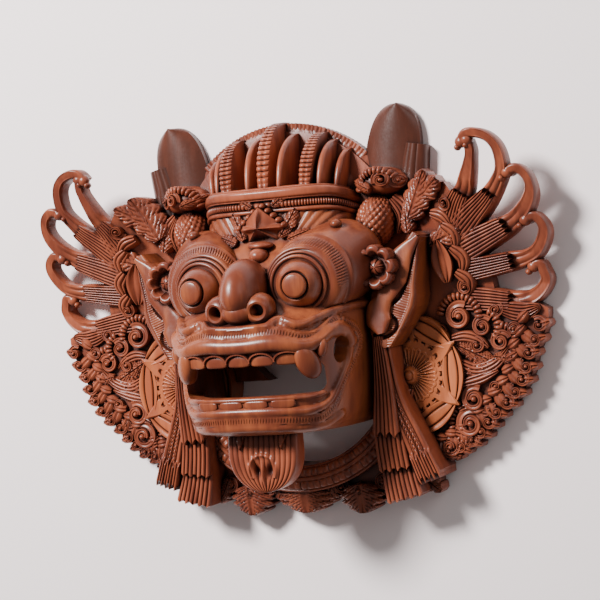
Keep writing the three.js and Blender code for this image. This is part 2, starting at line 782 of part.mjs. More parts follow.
function buildMask() {
  const side = union([
    eyeball(),
    ear(),
    flowerStud(),
    sash(),
    sunRosette(),
    hornBlade(),
    teardrop(),
    ...feathers.map(feather),
    ...scrolls.map(scroll),
    ...leaves.map(leaf),
  ]);
  const bottomLeaf = leaf([0, -141, -90, bottomLeafLength, 46, 11]);
  const ruff = union([ruffPlate(), collar(), bottomLeaf]).subtract(neckCut());
  const head = union([
    headBlock(0, 0),
    mouthRolls(),
    foreheadBand(),
    foreheadJewel(),
    crest(),
    noseBulb(),
  ]);
  const [[jawY, jawHalfWidth]] = headRows;
  const jawGap = new THREE.BoxGeometry(2 * jawHalfWidth - 10, 30, 2 * jawOpening).translate(0, jawY + 2, 0);
  const openings = union([
    headBlock(headWall, -30),
    mouthCut(),
    bothSides(cheekHole()),
    solid(jawGap),
  ]);
  const hollowed = union([head, bothSides(side), ruff]).subtract(openings);
  const whole = union([hollowed, teeth(), tonguePlate()]);
  const belowBack = solid(new THREE.BoxGeometry(900, 900, 100).translate(0, 0, -50));
  const carved = whole.subtract(belowBack).asOriginal().simplify(carvingTolerance);
  return wasm.Manifold.compose(carved.decompose().filter((body) => Math.abs(body.volume()) > 1));
}

// The solid as a mesh, centred on its own footprint
function meshOf(made, name, material) {
  const box = made.boundingBox();
  const { numProp, vertProperties, triVerts } = made
    .translate([0, -(box.min[1] + box.max[1]) / 2, -box.min[2]])
    .getMesh();
  const geometry = new THREE.BufferGeometry();
  geometry.setAttribute("position", new THREE.BufferAttribute(vertProperties, numProp));
  geometry.setIndex(new THREE.BufferAttribute(triVerts, 1));
  geometry.computeVertexNormals();
  const mesh = new THREE.Mesh(geometry, material);
  mesh.name = name;
  return mesh;
}

const wood = new THREE.MeshStandardMaterial({ color: 0x8a4524, roughness: 0.45, metalness: 0 });
const mask = new THREE.Group();
mask.add(meshOf(buildMask(), "barong_mask", wood));

export default mask;
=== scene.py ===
# %% [markdown]
# # A carved wooden Barong mask
# The real mask is carved from one block of reddish wood: a hollow lion-like head with bulging eyes, and a pierced
# ruff of feathers, scrolls and leaves behind it. The plain solid already has the true outline and depths. This
# scene lays the fine carving over it, in the same frame, and gives the wood its colour, grain and shine.

# %% Load the plain solid and keep its box
import bpy
import numpy as np
from mathutils import Matrix, Vector


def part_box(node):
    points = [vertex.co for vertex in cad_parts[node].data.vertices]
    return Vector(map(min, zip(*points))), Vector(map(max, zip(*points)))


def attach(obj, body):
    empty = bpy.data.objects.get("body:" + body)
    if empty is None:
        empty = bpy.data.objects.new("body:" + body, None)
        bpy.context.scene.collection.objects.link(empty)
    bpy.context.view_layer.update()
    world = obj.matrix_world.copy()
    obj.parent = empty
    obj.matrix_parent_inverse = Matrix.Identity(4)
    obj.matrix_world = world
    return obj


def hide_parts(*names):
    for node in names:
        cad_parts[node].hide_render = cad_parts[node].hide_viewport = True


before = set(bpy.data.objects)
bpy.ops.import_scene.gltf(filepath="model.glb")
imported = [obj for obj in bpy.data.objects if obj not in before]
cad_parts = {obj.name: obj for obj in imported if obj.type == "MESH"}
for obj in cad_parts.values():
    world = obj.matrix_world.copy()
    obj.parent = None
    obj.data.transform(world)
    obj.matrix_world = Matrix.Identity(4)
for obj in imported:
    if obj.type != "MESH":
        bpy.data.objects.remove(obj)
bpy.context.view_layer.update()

solid_low, solid_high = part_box("barong_mask")
print("The plain solid reaches from", solid_low, "to", solid_high)

# %% [markdown]
# ## The carver's drawing
# Every size below is in millimetres on the drawing: x to the viewer's right, y up the face and z out of the flat
# back. The scene is in metres and its zero sits a little lower, so one function moves finished points there.

# %% From the drawing to the scene
LOWEST_POINT = -163.17
SHIFT = solid_low.y * 1000 - LOWEST_POINT


def to_scene(points):
    return (np.asarray(points, float) + [0, SHIFT, 0]) / 1000


def read_points(piece):
    points = np.empty(len(piece.data.vertices) * 3)
    piece.data.vertices.foreach_get("co", points)
    return points.reshape(-1, 3)


def write_points(piece, points):
    piece.data.vertices.foreach_set("co", to_scene(points).ravel())
    piece.data.update()


def reshape(piece, change):
    """Change a piece that is already in place by a function of its points on the drawing"""
    write_points(piece, change(read_points(piece) * 1000 - [0, SHIFT, 0]))
    return piece


print("The drawing's zero is", round(SHIFT, 2), "mm up the scene")

# %% [markdown]
# ## A strip of wood ready for carving
# Nearly all the ornament is a strip that follows a curved line, with grooves, ribs or leaf veins cut into its top.
# It could be a curve with a bevel, but then the top could not be carved. A grid is used instead: its outer edge is
# extruded down and closed with one face, and each point is then laid where the carving wants it.

# %% A grid with walls, and smooth lines to lay it on
def slab(name, along, across):
    """x and y run from -1 to 1. z is 0 on the carved top and -1 below."""
    bpy.ops.object.select_all(action="DESELECT")
    bpy.ops.mesh.primitive_grid_add(x_subdivisions=across, y_subdivisions=along, size=2)
    piece = bpy.context.object
    piece.name = name
    bpy.ops.object.mode_set(mode="EDIT")
    bpy.ops.mesh.select_all(action="SELECT")
    bpy.ops.mesh.region_to_loop()
    bpy.ops.mesh.extrude_edges_move(TRANSFORM_OT_translate={"value": (0, 0, -1)})
    bpy.ops.mesh.edge_face_add()
    bpy.ops.object.mode_set(mode="OBJECT")
    return piece


def face_outwards(piece):
    bpy.ops.object.select_all(action="DESELECT")
    piece.select_set(True)
    bpy.context.view_layer.objects.active = piece
    bpy.ops.object.mode_set(mode="EDIT")
    bpy.ops.mesh.select_all(action="SELECT")
    bpy.ops.mesh.normals_make_consistent(inside=False)
    bpy.ops.object.mode_set(mode="OBJECT")
    return piece


def smooth_line(points, count):
    """A curve through the points, in equal steps"""
    p = np.asarray(points, float)
    p = np.vstack([2 * p[0] - p[1], p, 2 * p[-1] - p[-2]])
    t = np.linspace(0, 1, 12, endpoint=False)[:, None]
    runs = []
    for a, b, c, d in zip(p, p[1:], p[2:], p[3:]):
        ab, bc, cd = (max(np.linalg.norm(s), 1e-6) ** 0.5 for s in (b - a, c - b, d - c))
        start = ((b - a) / ab - (c - a) / (ab + bc) + (c - b) / bc) * bc
        end = ((c - b) / bc - (d - b) / (bc + cd) + (d - c) / cd) * bc
        runs.append(b + start * t + (3 * (c - b) - 2 * start - end) * t**2 + (2 * (b - c) + start + end) * t**3)
    fine = np.vstack(runs + [p[-2:-1]])
    length = np.r_[0, np.cumsum(np.linalg.norm(np.diff(fine, axis=0), axis=1))]
    return np.stack([np.interp(np.linspace(0, length[-1], count + 1), length, c) for c in fine.T], axis=1)


print("A test line has", len(smooth_line([(0, 0), (5, 5), (9, 1)], 20)), "points")

# %% [markdown]
# ## The ruff's own surface
# The ruff is a plate that lies flat in the middle and leans forward under the feathers. All its ornament is set
# from this surface, so that nothing floats over it or sinks away.

# %% Heights of the ruff
PLATE = 14
FLARE = 0.34


def step_between(value, low, high):
    share = np.clip((value - low) / (high - low), 0, 1)
    return share * share * (3 - 2 * share)


def ruff_back(x, y):
    return FLARE * np.maximum(0, y + 8) * step_between(np.abs(x), 88, 140)


def ruff_top(x, y):
    return PLATE + ruff_back(x, y)


print("The ruff's front is", round(float(ruff_top(190.0, 90.0)), 1), "mm high at the outer feathers")

# %% [markdown]
# ## Gouge strokes
# A carver has few strokes: round ribs side by side, a comb across, a leaf's slanted veins, a bead along the middle
# and a hollow between two edges. Each stroke is a small function of the place on a strip, where u runs across
# from -1 to 1 and t runs along from 0 to 1. Strokes are added to one another.

# %% The strokes
def ribs(count, depth):
    return lambda u, t: depth * (np.abs(np.sin(np.pi * count * (u + 1) / 2)) ** 0.7 - 1)


def comb(count, depth):
    return lambda u, t: depth * (np.abs(np.sin(np.pi * count * t)) ** 0.7 - 1)


def veins(count, depth, slant=0.4):
    def stroke(u, t):
        wave = np.abs(np.sin(np.pi * count * (t - slant * np.abs(u)))) ** 0.6
        return depth * (wave - 1) * step_between(np.abs(u), 0.05, 0.3)
    return stroke


def rounded(drop, power=4):
    return lambda u, t: -drop * np.abs(u) ** power


def hollow(depth, half=0.7):
    return lambda u, t: -depth * np.clip(1 - (u / half) ** 2, 0, 1)


def bead(height, half=0.3, middle=0.0):
    return lambda u, t: height * np.sqrt(np.clip(1 - ((u - middle) / half) ** 2, 0, 1))


def strokes(*parts):
    return lambda u, t: sum(part(u, t) for part in parts)


def listed(values):
    values = np.asarray(values, float)
    return lambda t: np.interp(t, np.linspace(0, 1, len(values)), values)


def distance_to(points, line):
    """How far each point is from the nearest stretch of a line"""
    nearest = np.full(len(points), 99.0)
    close = np.where(np.all((points > line.min(0) - 8) & (points < line.max(0) + 8), axis=1))[0]
    start, run = line[:-1], np.diff(line, axis=0)
    for some in np.array_split(close, max(1, len(close) // 2000)):
        offset = points[some][:, None] - start
        share = np.clip((offset * run).sum(2) / (run**2).sum(1), 0, 1)
        nearest[some] = np.linalg.norm(offset - share[..., None] * run, axis=2).min(1)
    return nearest


def line_cut(points, half, depth):
    """A groove along a drawn line, as a function of x and y"""
    route = smooth_line(points, 90)
    return lambda x, y: -depth * np.clip(1 - (distance_to(np.stack([x, y], axis=1), route) / half) ** 2, 0, 1)


print("A rib is", round(float(-ribs(5, 2)(-1.0, 0.0)), 1), "mm deep between its neighbours")

# %% [markdown]
# ## Laying a strip on the ruff
# The strip's middle follows a line of x and y points. Its width can change along it, its far end can be cut to a
# zigzag, and its top is the ruff's surface plus a rise plus the strokes.

# %% A strip on the ruff
def strip(name, points, width, rise, relief, ground=ruff_top, floor=None, steps=(40, 16), end=None, pace=None,
          drawn=None):
    along, across = steps
    floor = floor or (lambda x, y: ruff_back(x, y) + 3)
    piece = slab(name, along, across)
    u, v, level = read_points(piece).T
    route = smooth_line(points, along)
    heading = np.gradient(route, axis=0)
    heading /= np.linalg.norm(heading, axis=1)[:, None] + 1e-9
    t = pace((v + 1) / 2) if pace else (v + 1) / 2
    s = t * (end(u) if end else 1)
    places = np.linspace(0, 1, along + 1)
    x, y, hx, hy = (np.interp(s, places, c) for c in (*route.T, *heading.T))
    half = np.maximum(0.5, width(t))
    x, y = x + hy * u * half, y - hx * u * half
    high = ground(x, y) + rise(t) + relief(u, t) + (drawn(x, y) if drawn else 0)
    write_points(piece, np.stack([x, y, np.where(level > -0.5, high, floor(x, y))], axis=1))
    return face_outwards(piece)


def disc(name, centre, radius, height, floor, steps=40):
    """A round piece carved by height(r, a). r runs from 0 to 1 and a is the turn."""
    piece = slab(name, steps, steps)
    u, v, level = read_points(piece).T
    x, y = u * np.sqrt(1 - v * v / 2), v * np.sqrt(1 - u * u / 2)
    r, a = np.hypot(x, y), np.arctan2(y, x)
    reach = radius(a)
    x, y = centre[0] + x * reach, centre[1] + y * reach
    write_points(piece, np.stack([x, y, np.where(level > -0.5, height(r, a), floor)], axis=1))
    return face_outwards(piece)


def ball(name, centre, radii, tilt=0.0, round_steps=20):
    bpy.ops.object.select_all(action="DESELECT")
    bpy.ops.mesh.primitive_uv_sphere_add(segments=round_steps, ring_count=round_steps // 2, radius=1)
    piece = bpy.context.object
    piece.name = name
    write_points(piece, turned_flat(read_points(piece) * radii, tilt) + centre)
    return piece


def turned_flat(points, degrees):
    """Points turned about the axis that faces out of the back"""
    c, s = np.cos(np.radians(degrees)), np.sin(np.radians(degrees))
    x, y, z = points.T
    return np.stack([x * c - y * s, x * s + y * c, z], axis=1)


def fuse(name, parts, cutters=()):
    """All the parts as one closed solid, less the cutters"""
    first, rest = parts[0], parts[1:]
    first.name = name
    for operation, others in (("UNION", rest), ("DIFFERENCE", cutters)):
        if not others:
            continue
        tray = bpy.data.collections.new(name + "_tray")
        for other in others:
            tray.objects.link(other)
        modifier = first.modifiers.new("join", "BOOLEAN")
        modifier.operation = operation
        modifier.operand_type = "COLLECTION"
        modifier.collection = tray
        modifier.solver = "MANIFOLD"
        bpy.context.view_layer.objects.active = first
        bpy.ops.object.modifier_apply(modifier="join")
        bpy.data.collections.remove(tray)
    for other in rest:
        bpy.data.objects.remove(other)
    print(name, "has", len(first.data.polygons), "faces")
    return first


def mirrored(piece, name):
    """The same piece for the other side, with its own mesh"""
    bpy.ops.object.select_all(action="DESELECT")
    piece.select_set(True)
    bpy.context.view_layer.objects.active = piece
    bpy.ops.object.duplicate()
    twin = bpy.context.object
    twin.name = name
    twin.scale.x = -1
    bpy.ops.object.transform_apply(location=False, rotation=False, scale=True)
    return face_outwards(twin)


pieces = []

# %% [markdown]
# ## The head's skin
# The head is a rounded block: nearly square from above, deep at the muzzle and shallow at the forehead. Its rows
# give the half width and the depth at each height. A place on it is a turn, from -90 on the left cheek over 0 in
# front to 90 on the right, and a height.

# %% Points on the head
HEAD_ROWS = [
    (-96, 57, 99), (-90, 62, 108), (-72, 66, 111), (-50, 68, 112), (-34, 70, 114), (-22, 71, 112),
    (-13, 71, 99), (2, 70, 84), (20, 68, 71), (37, 62, 56), (54, 57, 51), (70, 53, 53),
]
head_rows = smooth_line(HEAD_ROWS, 120)
WALL = 10


def head_point(turn, y, inset=0.0):
    half, depth = (np.interp(y, head_rows[:, 0], head_rows[:, k]) - inset for k in (1, 2))
    s, c = np.sin(np.radians(turn)), np.clip(np.cos(np.radians(turn)), 0, 1)
    x, y, z = np.broadcast_arrays(half * np.sign(s) * np.abs(s) ** (2 / 3), y, depth * c ** (2 / 3))
    return np.stack([x, y, z], axis=-1)


def head_normal(turn, y):
    across = head_point(np.minimum(turn + 2, 90), y) - head_point(np.maximum(turn - 2, -90), y)
    up = head_point(turn, y + 2) - head_point(turn, y - 2)
    out = np.cross(across, up)
    return out / np.linalg.norm(out, axis=-1, keepdims=True)


def even_turns(count, y=-50.0):
    """Turns that cut the head's girth into equal steps"""
    turns = np.linspace(-90, 90, 721)
    girth = np.r_[0, np.cumsum(np.linalg.norm(np.diff(head_point(turns, y), axis=0), axis=1))]
    return np.interp(np.linspace(0, girth[-1], count), girth, turns)


def head_block(name, along, across, inset, back, relief=None):
    piece = slab(name, along, across)
    u, v, level = read_points(piece).T
    turn = np.interp(u, np.linspace(-1, 1, 201), even_turns(201))
    y = np.interp(v, [-1, 1], [HEAD_ROWS[0][0] + inset, HEAD_ROWS[-1][0] - inset])
    points = head_point(turn, y, inset)
    if relief:
        points += head_normal(turn, y) * relief(points)[:, None]
    points[level < -0.5, 2] = back
    write_points(piece, points)
    return face_outwards(piece)


print("The head is", round(float(head_point(0.0, -34.0)[2]), 1), "mm deep at the muzzle")

# %% [markdown]
# ## Rolls and stitches round the mouth
# Two soft lips, a rolling line under the eyes and a band of stitches run round the mouth and the hole in the
# cheek. They are raised in the skin itself: each point of the head looks for the nearest place on each line, and
# rises by a half-round of that line's width. The rungs of the stitched band are tiny blocks set on it afterwards.

# %% Lines on the head, as turn and height
def both_halves(right):
    left = [(-turn, y) for turn, y in right if turn > 0]
    return left[::-1] + list(right)


def skin_line(right, count=160):
    turn, y = smooth_line(both_halves(right), count).T
    return head_point(turn, y), head_normal(turn, y)


CHEEK_LINE = [(0, -23), (10, -22), (14, -18), (28, -22), (39, -18), (48, -15), (60, -13), (74, -13)]
STITCH_LINE = [(0, -26), (10, -25), (20, -27), (28, -30), (37, -30), (45, -25), (51, -20)]
UPPER_LIP = [(0, -34), (10, -33), (20, -34), (32, -36), (40, -33), (47, -28), (57, -28), (62, -36)]
LOWER_LIP = [(0, -79), (16, -79.5), (34, -80), (45, -76), (52, -66), (57, -56), (61, -46), (62, -36)]
LOW_STITCH = [(0, -84.5), (14, -85), (30, -86), (40, -86), (47, -82), (52, -74), (56, -64), (62, -54), (67, -45),
              (69, -37), (66, -29), (57, -23)]
MOUTH_EDGE = [(0, -70.6), (16, -70.6), (34, -71), (43, -69.5)]
CHIN_LINE = [(0, -90), (17, -91), (32, -92), (46, -91), (56, -86)]
ROLLS = [
    # line, half width and height of its half-round
    (CHEEK_LINE, 3.0, 3.4), (UPPER_LIP, 5.5, 5.0), (LOWER_LIP, 3.2, 3.0), (CHIN_LINE, 3.6, 2.4),
    (MOUTH_EDGE, 1.7, 1.6),
    (STITCH_LINE, 3.6, 2.4), (LOW_STITCH, 3.6, 2.4),
]


def lip_relief(points):
    rise = np.zeros(len(points))
    for right, half, height in ROLLS:
        d = distance_to(points, skin_line(right)[0]) / half
        rise = np.maximum(rise, height * np.sqrt(np.clip(1 - d * d, 0, 1)))
    for right in (STITCH_LINE, LOW_STITCH):
        d = distance_to(points, skin_line(right)[0])
        rise -= 1.1 * np.clip(1 - (d / 2.4) ** 2, 0, 1)
    x, y, z = points.T
    rays = np.abs(np.sin(34 * np.arctan2(x, y - 6))) ** 0.7 - 1
    return rise + 1.3 * rays * step_between(y, 36, 42) * (1 - step_between(y, 60, 61)) * step_between(z, 20, 28)


def head_front(x, y):
    """Height of the head's skin over a point of the flat back"""
    half, depth = (np.interp(y, head_rows[:, 0], head_rows[:, k]) for k in (1, 2))
    return depth * np.clip(1 - (np.abs(x) / half) ** 3, 0, 1) ** (1 / 3)


def copies(name, template, frames):
    """One mesh of many copies of a template piece. A frame is a place and three arrows of its own size."""
    points = read_points(template)
    faces = [list(face.vertices) for face in template.data.polygons]
    all_points = np.vstack([place + points @ arrows for place, arrows in frames])
    all_faces = [[i + k * len(points) for i in face] for k in range(len(frames)) for face in faces]
    mesh = bpy.data.meshes.new(name)
    mesh.from_pydata(to_scene(all_points).tolist(), [], all_faces)
    piece = bpy.data.objects.new(name, mesh)
    bpy.context.scene.collection.objects.link(piece)
    bpy.data.objects.remove(template)
    return face_outwards(piece)


def small_block():
    """A unit block with its edges taken off"""
    bpy.ops.object.select_all(action="DESELECT")
    bpy.ops.mesh.primitive_cube_add(size=1)
    bpy.ops.object.mode_set(mode="EDIT")
    bpy.ops.mesh.bevel(offset=0.18, segments=1, affect="EDGES")
    bpy.ops.object.mode_set(mode="OBJECT")
    return bpy.context.object


def rungs(name, right, pitch, size):
    """Cross blocks along a line on the head. size is along, across and out of it."""
    places, outs = skin_line(right, 400)
    length = np.r_[0, np.cumsum(np.linalg.norm(np.diff(places, axis=0), axis=1))]
    marks = np.arange(pitch / 2, length[-1], pitch)
    places, outs = (np.stack([np.interp(marks, length, c) for c in each.T], axis=1) for each in (places, outs))
    heading = np.gradient(places, axis=0)
    heading /= np.linalg.norm(heading, axis=1)[:, None]
    frames = []
    for place, out, ahead in zip(places, outs, heading):
        arrows = np.array([ahead * size[0], np.cross(out, ahead) * size[1], out * size[2]])
        frames.append((place + out * 0.9, arrows))
    print(name, "has", len(frames), "rungs")
    return copies(name, small_block(), frames)

# %% Openings of the head
def inner_hollow():
    return head_block("hollow", 12, 24, WALL, -30)


def box_cutter(name, low, high):
    bpy.ops.object.select_all(action="DESELECT")
    bpy.ops.mesh.primitive_cube_add(size=1)
    piece = bpy.context.object
    piece.name = name
    write_points(piece, (read_points(piece) + 0.5) * (np.array(high) - low) + low)
    return piece


def mouth_cutter():
    """A block with its four long edges rounded, pushed through the front of the head"""
    bpy.ops.object.select_all(action="DESELECT")
    bpy.ops.mesh.primitive_cube_add(size=1)
    piece = bpy.context.object
    piece.scale = (106, 23, 90)
    bpy.ops.object.transform_apply(scale=True)
    bpy.ops.object.mode_set(mode="EDIT")
    bpy.ops.mesh.select_all(action="DESELECT")
    bpy.ops.object.mode_set(mode="OBJECT")
    corners = read_points(piece)
    for edge in piece.data.edges:
        a, b = corners[edge.vertices[0]], corners[edge.vertices[1]]
        edge.select = bool(abs(a[2] - b[2]) > 1)
    bpy.ops.object.mode_set(mode="EDIT")
    bpy.ops.mesh.select_mode(type="EDGE")
    bpy.ops.mesh.bevel(offset=7, segments=8, affect="EDGES")
    bpy.ops.object.mode_set(mode="OBJECT")
    write_points(piece, read_points(piece) + [0, -57.5, 95])
    return piece


def cheek_cutter(side):
    bpy.ops.object.select_all(action="DESELECT")
    bpy.ops.mesh.primitive_cylinder_add(vertices=32, radius=1, depth=1)
    piece = bpy.context.object
    place, out = head_point(55.0, -41.5), head_normal(55.0, -41.5)
    up = np.cross(out, np.cross([0, 1, 0], out))
    arrows = np.array([np.cross(up, out) * 6.5, up * 9.5, out * 50])
    write_points(piece, (place + read_points(piece) @ arrows) * [side, 1, 1])
    return face_outwards(piece)


def head_cutters():
    return [inner_hollow(), mouth_cutter(), cheek_cutter(1), cheek_cutter(-1),
            box_cutter("jaw_gap", (-52, -109, -44), (52, -79, 44)),
            box_cutter("below", (-110, -120, -30), (110, 100, 0))]


# %% Carve the head
def clear_away(cutters):
    for cutter in cutters:
        bpy.data.objects.remove(cutter)


skin = head_block("head", 170, 300, 0, -5, lip_relief)
cutters = head_cutters()
inside, below = cutters[0], cutters[-1]
head = fuse("head", [skin, rungs("upper_rungs", STITCH_LINE, 2.0, (0.9, 4.2, 1.7)),
                     rungs("lower_rungs", LOW_STITCH, 2.0, (0.9, 4.2, 1.7))], cutters)
pieces.append(head)

# %% [markdown]
# ## Turned forms: eyes, lids and nostrils
# The eye is a ball with a flat pupil inside three thin lids, at the front of a barrel that leans back into the
# brow. All of them are round, so each is half a profile spun about its own axis, as on a lathe. The barrel is then
# leaned over and its lashes are cut.

# %% A lathe
def turned(name, profile, centre, tilt=(0, 0), steps=48):
    """profile is (radius, height) points from the axis below to the axis above"""
    bpy.ops.object.select_all(action="DESELECT")
    mesh = bpy.data.meshes.new(name)
    mesh.from_pydata([(r, 0, h) for r, h in profile], [(i, i + 1) for i in range(len(profile) - 1)], [])
    piece = bpy.data.objects.new(name, mesh)
    bpy.context.scene.collection.objects.link(piece)
    piece.select_set(True)
    bpy.context.view_layer.objects.active = piece
    bpy.ops.object.mode_set(mode="EDIT")
    bpy.ops.mesh.select_all(action="SELECT")
    bpy.ops.mesh.spin(steps=steps, angle=2 * np.pi, center=(0, 0, 0), axis=(0, 0, 1))
    bpy.ops.mesh.select_all(action="SELECT")
    bpy.ops.mesh.remove_doubles(threshold=1e-4)
    bpy.ops.object.mode_set(mode="OBJECT")
    write_points(piece, tilted(read_points(piece), tilt) + centre)
    return face_outwards(piece)


def tilted(points, tilt):
    """Points leaned by the tilt about x, then about y, in degrees"""
    a, b = np.radians(tilt)
    x, y, z = points.T
    y, z = y * np.cos(a) - z * np.sin(a), y * np.sin(a) + z * np.cos(a)
    x, z = x * np.cos(b) + z * np.sin(b), -x * np.sin(b) + z * np.cos(b)
    return np.stack([x, y, z], axis=1)


def oval(name, centre, radii, tilt=(0, 0), steps=48, shape=None):
    """A sphere drawn out to an oval, which shape(points) may carve while it is still a unit sphere"""
    bpy.ops.object.select_all(action="DESELECT")
    bpy.ops.mesh.primitive_uv_sphere_add(segments=steps, ring_count=steps // 2, radius=1)
    piece = bpy.context.object
    piece.name = name
    points = read_points(piece)
    if shape:
        points = points * shape(points)[:, None]
    write_points(piece, tilted(points * radii, tilt) + centre)
    return piece


# %% The eyes
EYE = np.array([37, 5, 82])
EYE_TILT = (2, 6)


def barrel():
    profile = smooth_line([(3, -58), (17, -57), (28, -47), (30, -36), (29.6, -17), (29.2, -13.5), (30, -12.4),
                           (28.6, -11.2), (28, -8), (26.5, -3.5), (24, -1), (19, 0)], 96)
    piece = turned("barrel", [(0, -58), *map(tuple, profile), (0, 0)], EYE + [0, 0, 1], steps=252)

    def lean(points):
        back = EYE[2] + 1 - points[:, 2]
        spoke = points[:, :2] - EYE[:2]
        around = np.arctan2(spoke[:, 1], spoke[:, 0])
        lash = 0.8 * (np.abs(np.sin(around * 42)) ** 0.7 - 1)
        band = step_between(back, 2, 3.5) * (1 - step_between(back, 9.5, 10.5))
        place = band * step_between(np.sin(around), -0.3, 0)
        points[:, :2] += spoke / (np.linalg.norm(spoke, axis=1)[:, None] + 1e-6) * (lash * place)[:, None]
        points[:, :2] += back[:, None] * [0.34, 0.3]
        return points
    return reshape(piece, lean)


def lid(name, radius, height, thick):
    a = np.linspace(0, np.pi, 9)
    profile = [(0, -20), (radius + thick, -20)]
    profile += [(radius + thick * np.cos(k), thick * np.sin(k)) for k in a]
    profile += [(0, -3)]
    return turned(name, profile, EYE + [0, 0, height], EYE_TILT, 96)


def ball_and_pupil():
    a = np.radians(np.linspace(-80, 52, 26))
    profile = [(0, -18.3)] + [(17 * np.cos(k), 18.6 * np.sin(k)) for k in a]
    profile += [(9.7, 14.2), (9.4, 12.2), (8.7, 12.2), (8.5, 14.6), (8.4, 16.4), (7.9, 17.3), (6.6, 17.8), (3, 18.2),
                (0, 18.3)]
    return turned("ball", profile, EYE + [0.4, 0, 1], EYE_TILT, 72)


eye_right = fuse("eye_right", [
    barrel(), lid("outer_lid", 24.4, -1, 1.5), lid("middle_lid", 21.8, 2, 1.1), lid("inner_lid", 19, 5, 1.3),
    ball_and_pupil(), oval("knob", (55, 44, 54), (4, 3.6, 5), (0, 0), 24),
], [inside, below])
pieces += [eye_right, mirrored(eye_right, "eye_left")]

# %% [markdown]
# ## Nose
# A smooth egg between the eyes that ends in two round nostrils. The egg and the nostril rings are fused, and each
# nostril is bored into its ring.

# %% Carve the nose
def nostril(side):
    profile = [(0, -14), (9, -14), (11, -6), (10.8, -2), (9.8, 1.6), (8.2, 4), (6.4, 5), (5, 4.6), (4.2, 3),
               (4.1, -5), (0, -5)]
    return turned("nostril", profile, (15 * side, -10, 107), (8, 10 * side), 64)


def nose_lines(points):
    """The bulb swells in front, and a soft crease parts it from the nostrils"""
    x, y, z = points.T
    return 1 + 0.05 * np.exp(-((y + 0.1) / 0.35) ** 2) * (z > 0) - 0.04 * np.exp(-((y + 0.55) / 0.08) ** 2)


nose = fuse("nose", [
    oval("bulb", (0, 3, 93), (15, 22, 26.8), (10, 0), 72, nose_lines),
    oval("tip", (0, -11, 105), (13, 9, 12), (0, 0), 48),
    nostril(1), nostril(-1),
], [inside, below])
pieces.append(nose)

# %% [markdown]
# ## Teeth
# Five flat teeth hang close together from the upper gum, round above and straight below, each under an arched
# line. Four half-moons stand in the lower jaw, and a blunt oval fang closes the row at each side. Each begins as a
# cube smoothed to a ball, which is then squared on one side and set on the skin.

# %% Carve the teeth
def turn_at(x, y):
    share = min(1, abs(x) / np.interp(y, head_rows[:, 0], head_rows[:, 1]))
    return float(np.sign(x) * np.degrees(np.arcsin(share**1.5)))


def tooth(x, y, size, tilt=0.0, square=0.5):
    """A rounded form on the skin, squared on its lower side"""
    bpy.ops.object.select_all(action="DESELECT")
    bpy.ops.mesh.primitive_cube_add(size=2)
    piece = bpy.context.object
    modifier = piece.modifiers.new("soft", "SUBSURF")
    modifier.levels = modifier.render_levels = 4
    bpy.ops.object.modifier_apply(modifier="soft")
    points = read_points(piece)
    points /= np.linalg.norm(points, axis=1)[:, None]
    power = np.stack([1 - square * step_between(-points[:, 1], -0.2, 0.5)] * 2 + [0.7 + 0 * points[:, 0]], axis=1)
    points = np.sign(points) * np.abs(points) ** power
    turn = turn_at(x, y)
    place, out = head_point(turn, y), head_normal(turn, y)
    side = np.cross([0, 1, 0], out)
    side /= np.linalg.norm(side)
    up = np.cross(out, side)
    c, s = np.cos(np.radians(tilt)), np.sin(np.radians(tilt))
    arrows = np.array([(side * c + up * s) * size[0], (up * c - side * s) * size[1], out * size[2]])
    write_points(piece, place + points @ arrows)
    return piece


def gum_arch(x, y):
    """A thin rope bent over one tooth"""
    a = np.radians(np.linspace(-4, 184, 24))
    places = [(x + 8.6 * np.cos(k), y + 5.8 * np.sin(k)) for k in a]
    frames = []
    for (px, py), (qx, qy) in zip(places, places[1:]):
        p, q = (head_point(turn_at(k[0], k[1]), k[1]) for k in ((px, py), (qx, qy)))
        out = head_normal(turn_at(px, py), py)
        ahead = (q - p) * 1.35
        across = np.cross(out, ahead)
        across *= 1.3 / np.linalg.norm(across)
        frames.append(((p + q) / 2 + out * 1.2, np.array([ahead, across, out * 4])))
    return copies("arch", small_block(), frames)


upper = [tooth(17 * i, -43.8, (8.4, 4.2, 2.0)) for i in (-2, -1, 0, 1, 2)]
lower = [tooth(18.7 * i, -74.5, (8.6, 3.6, 1.8), 180) for i in (-1.5, -0.5, 0.5, 1.5)]
fangs = [tooth(side * 45, -47, (8, 13, 6.5), side * 30, 0.05) for side in (1, -1)]
nubs = [tooth(side * 52.5, -38, (4, 7.5, 6.5), side * -8, 0.05) for side in (1, -1)]
teeth = fuse("teeth", upper + lower + fangs + nubs, [inside])
arches = fuse("gum_arches", [gum_arch(17 * i, -44.6) for i in (-2, -1, 0, 1, 2)])
pieces += [teeth, arches]

# %% [markdown]
# ## Tongue
# The tongue hangs from the chin as a flat plate, ribbed along its length, with two little leaves at its root and
# a pair of hollows with a leaf between them near its tip.

# %% Carve the tongue
def tongue_relief(u, t):
    side = np.abs(u)
    flap = t < 0.36 * (1 - np.abs(side - 0.6) / 0.27)
    hollows = 5.2 * np.exp(-(((side - 0.19) / 0.1) ** 2 + ((t - 0.68) / 0.1) ** 2))
    leaf_between = 2.2 * np.exp(-((u / 0.09) ** 2 + ((t - 0.74) / 0.14) ** 2))
    arch = 1.5 * np.exp(-((np.hypot(u / 0.42, (t - 0.7) / 0.26) - 1) / 0.12) ** 2) * (t < 0.78)
    return ribs(13, 1.1)(u, t) - hollows + leaf_between + arch + 2.2 * flap - 1.5 * side**8


def tongue_width(t):
    return 26 * np.sqrt(np.maximum(0.02, 1 - np.maximum(0, (t - 0.35) / 0.65) ** 2.6))


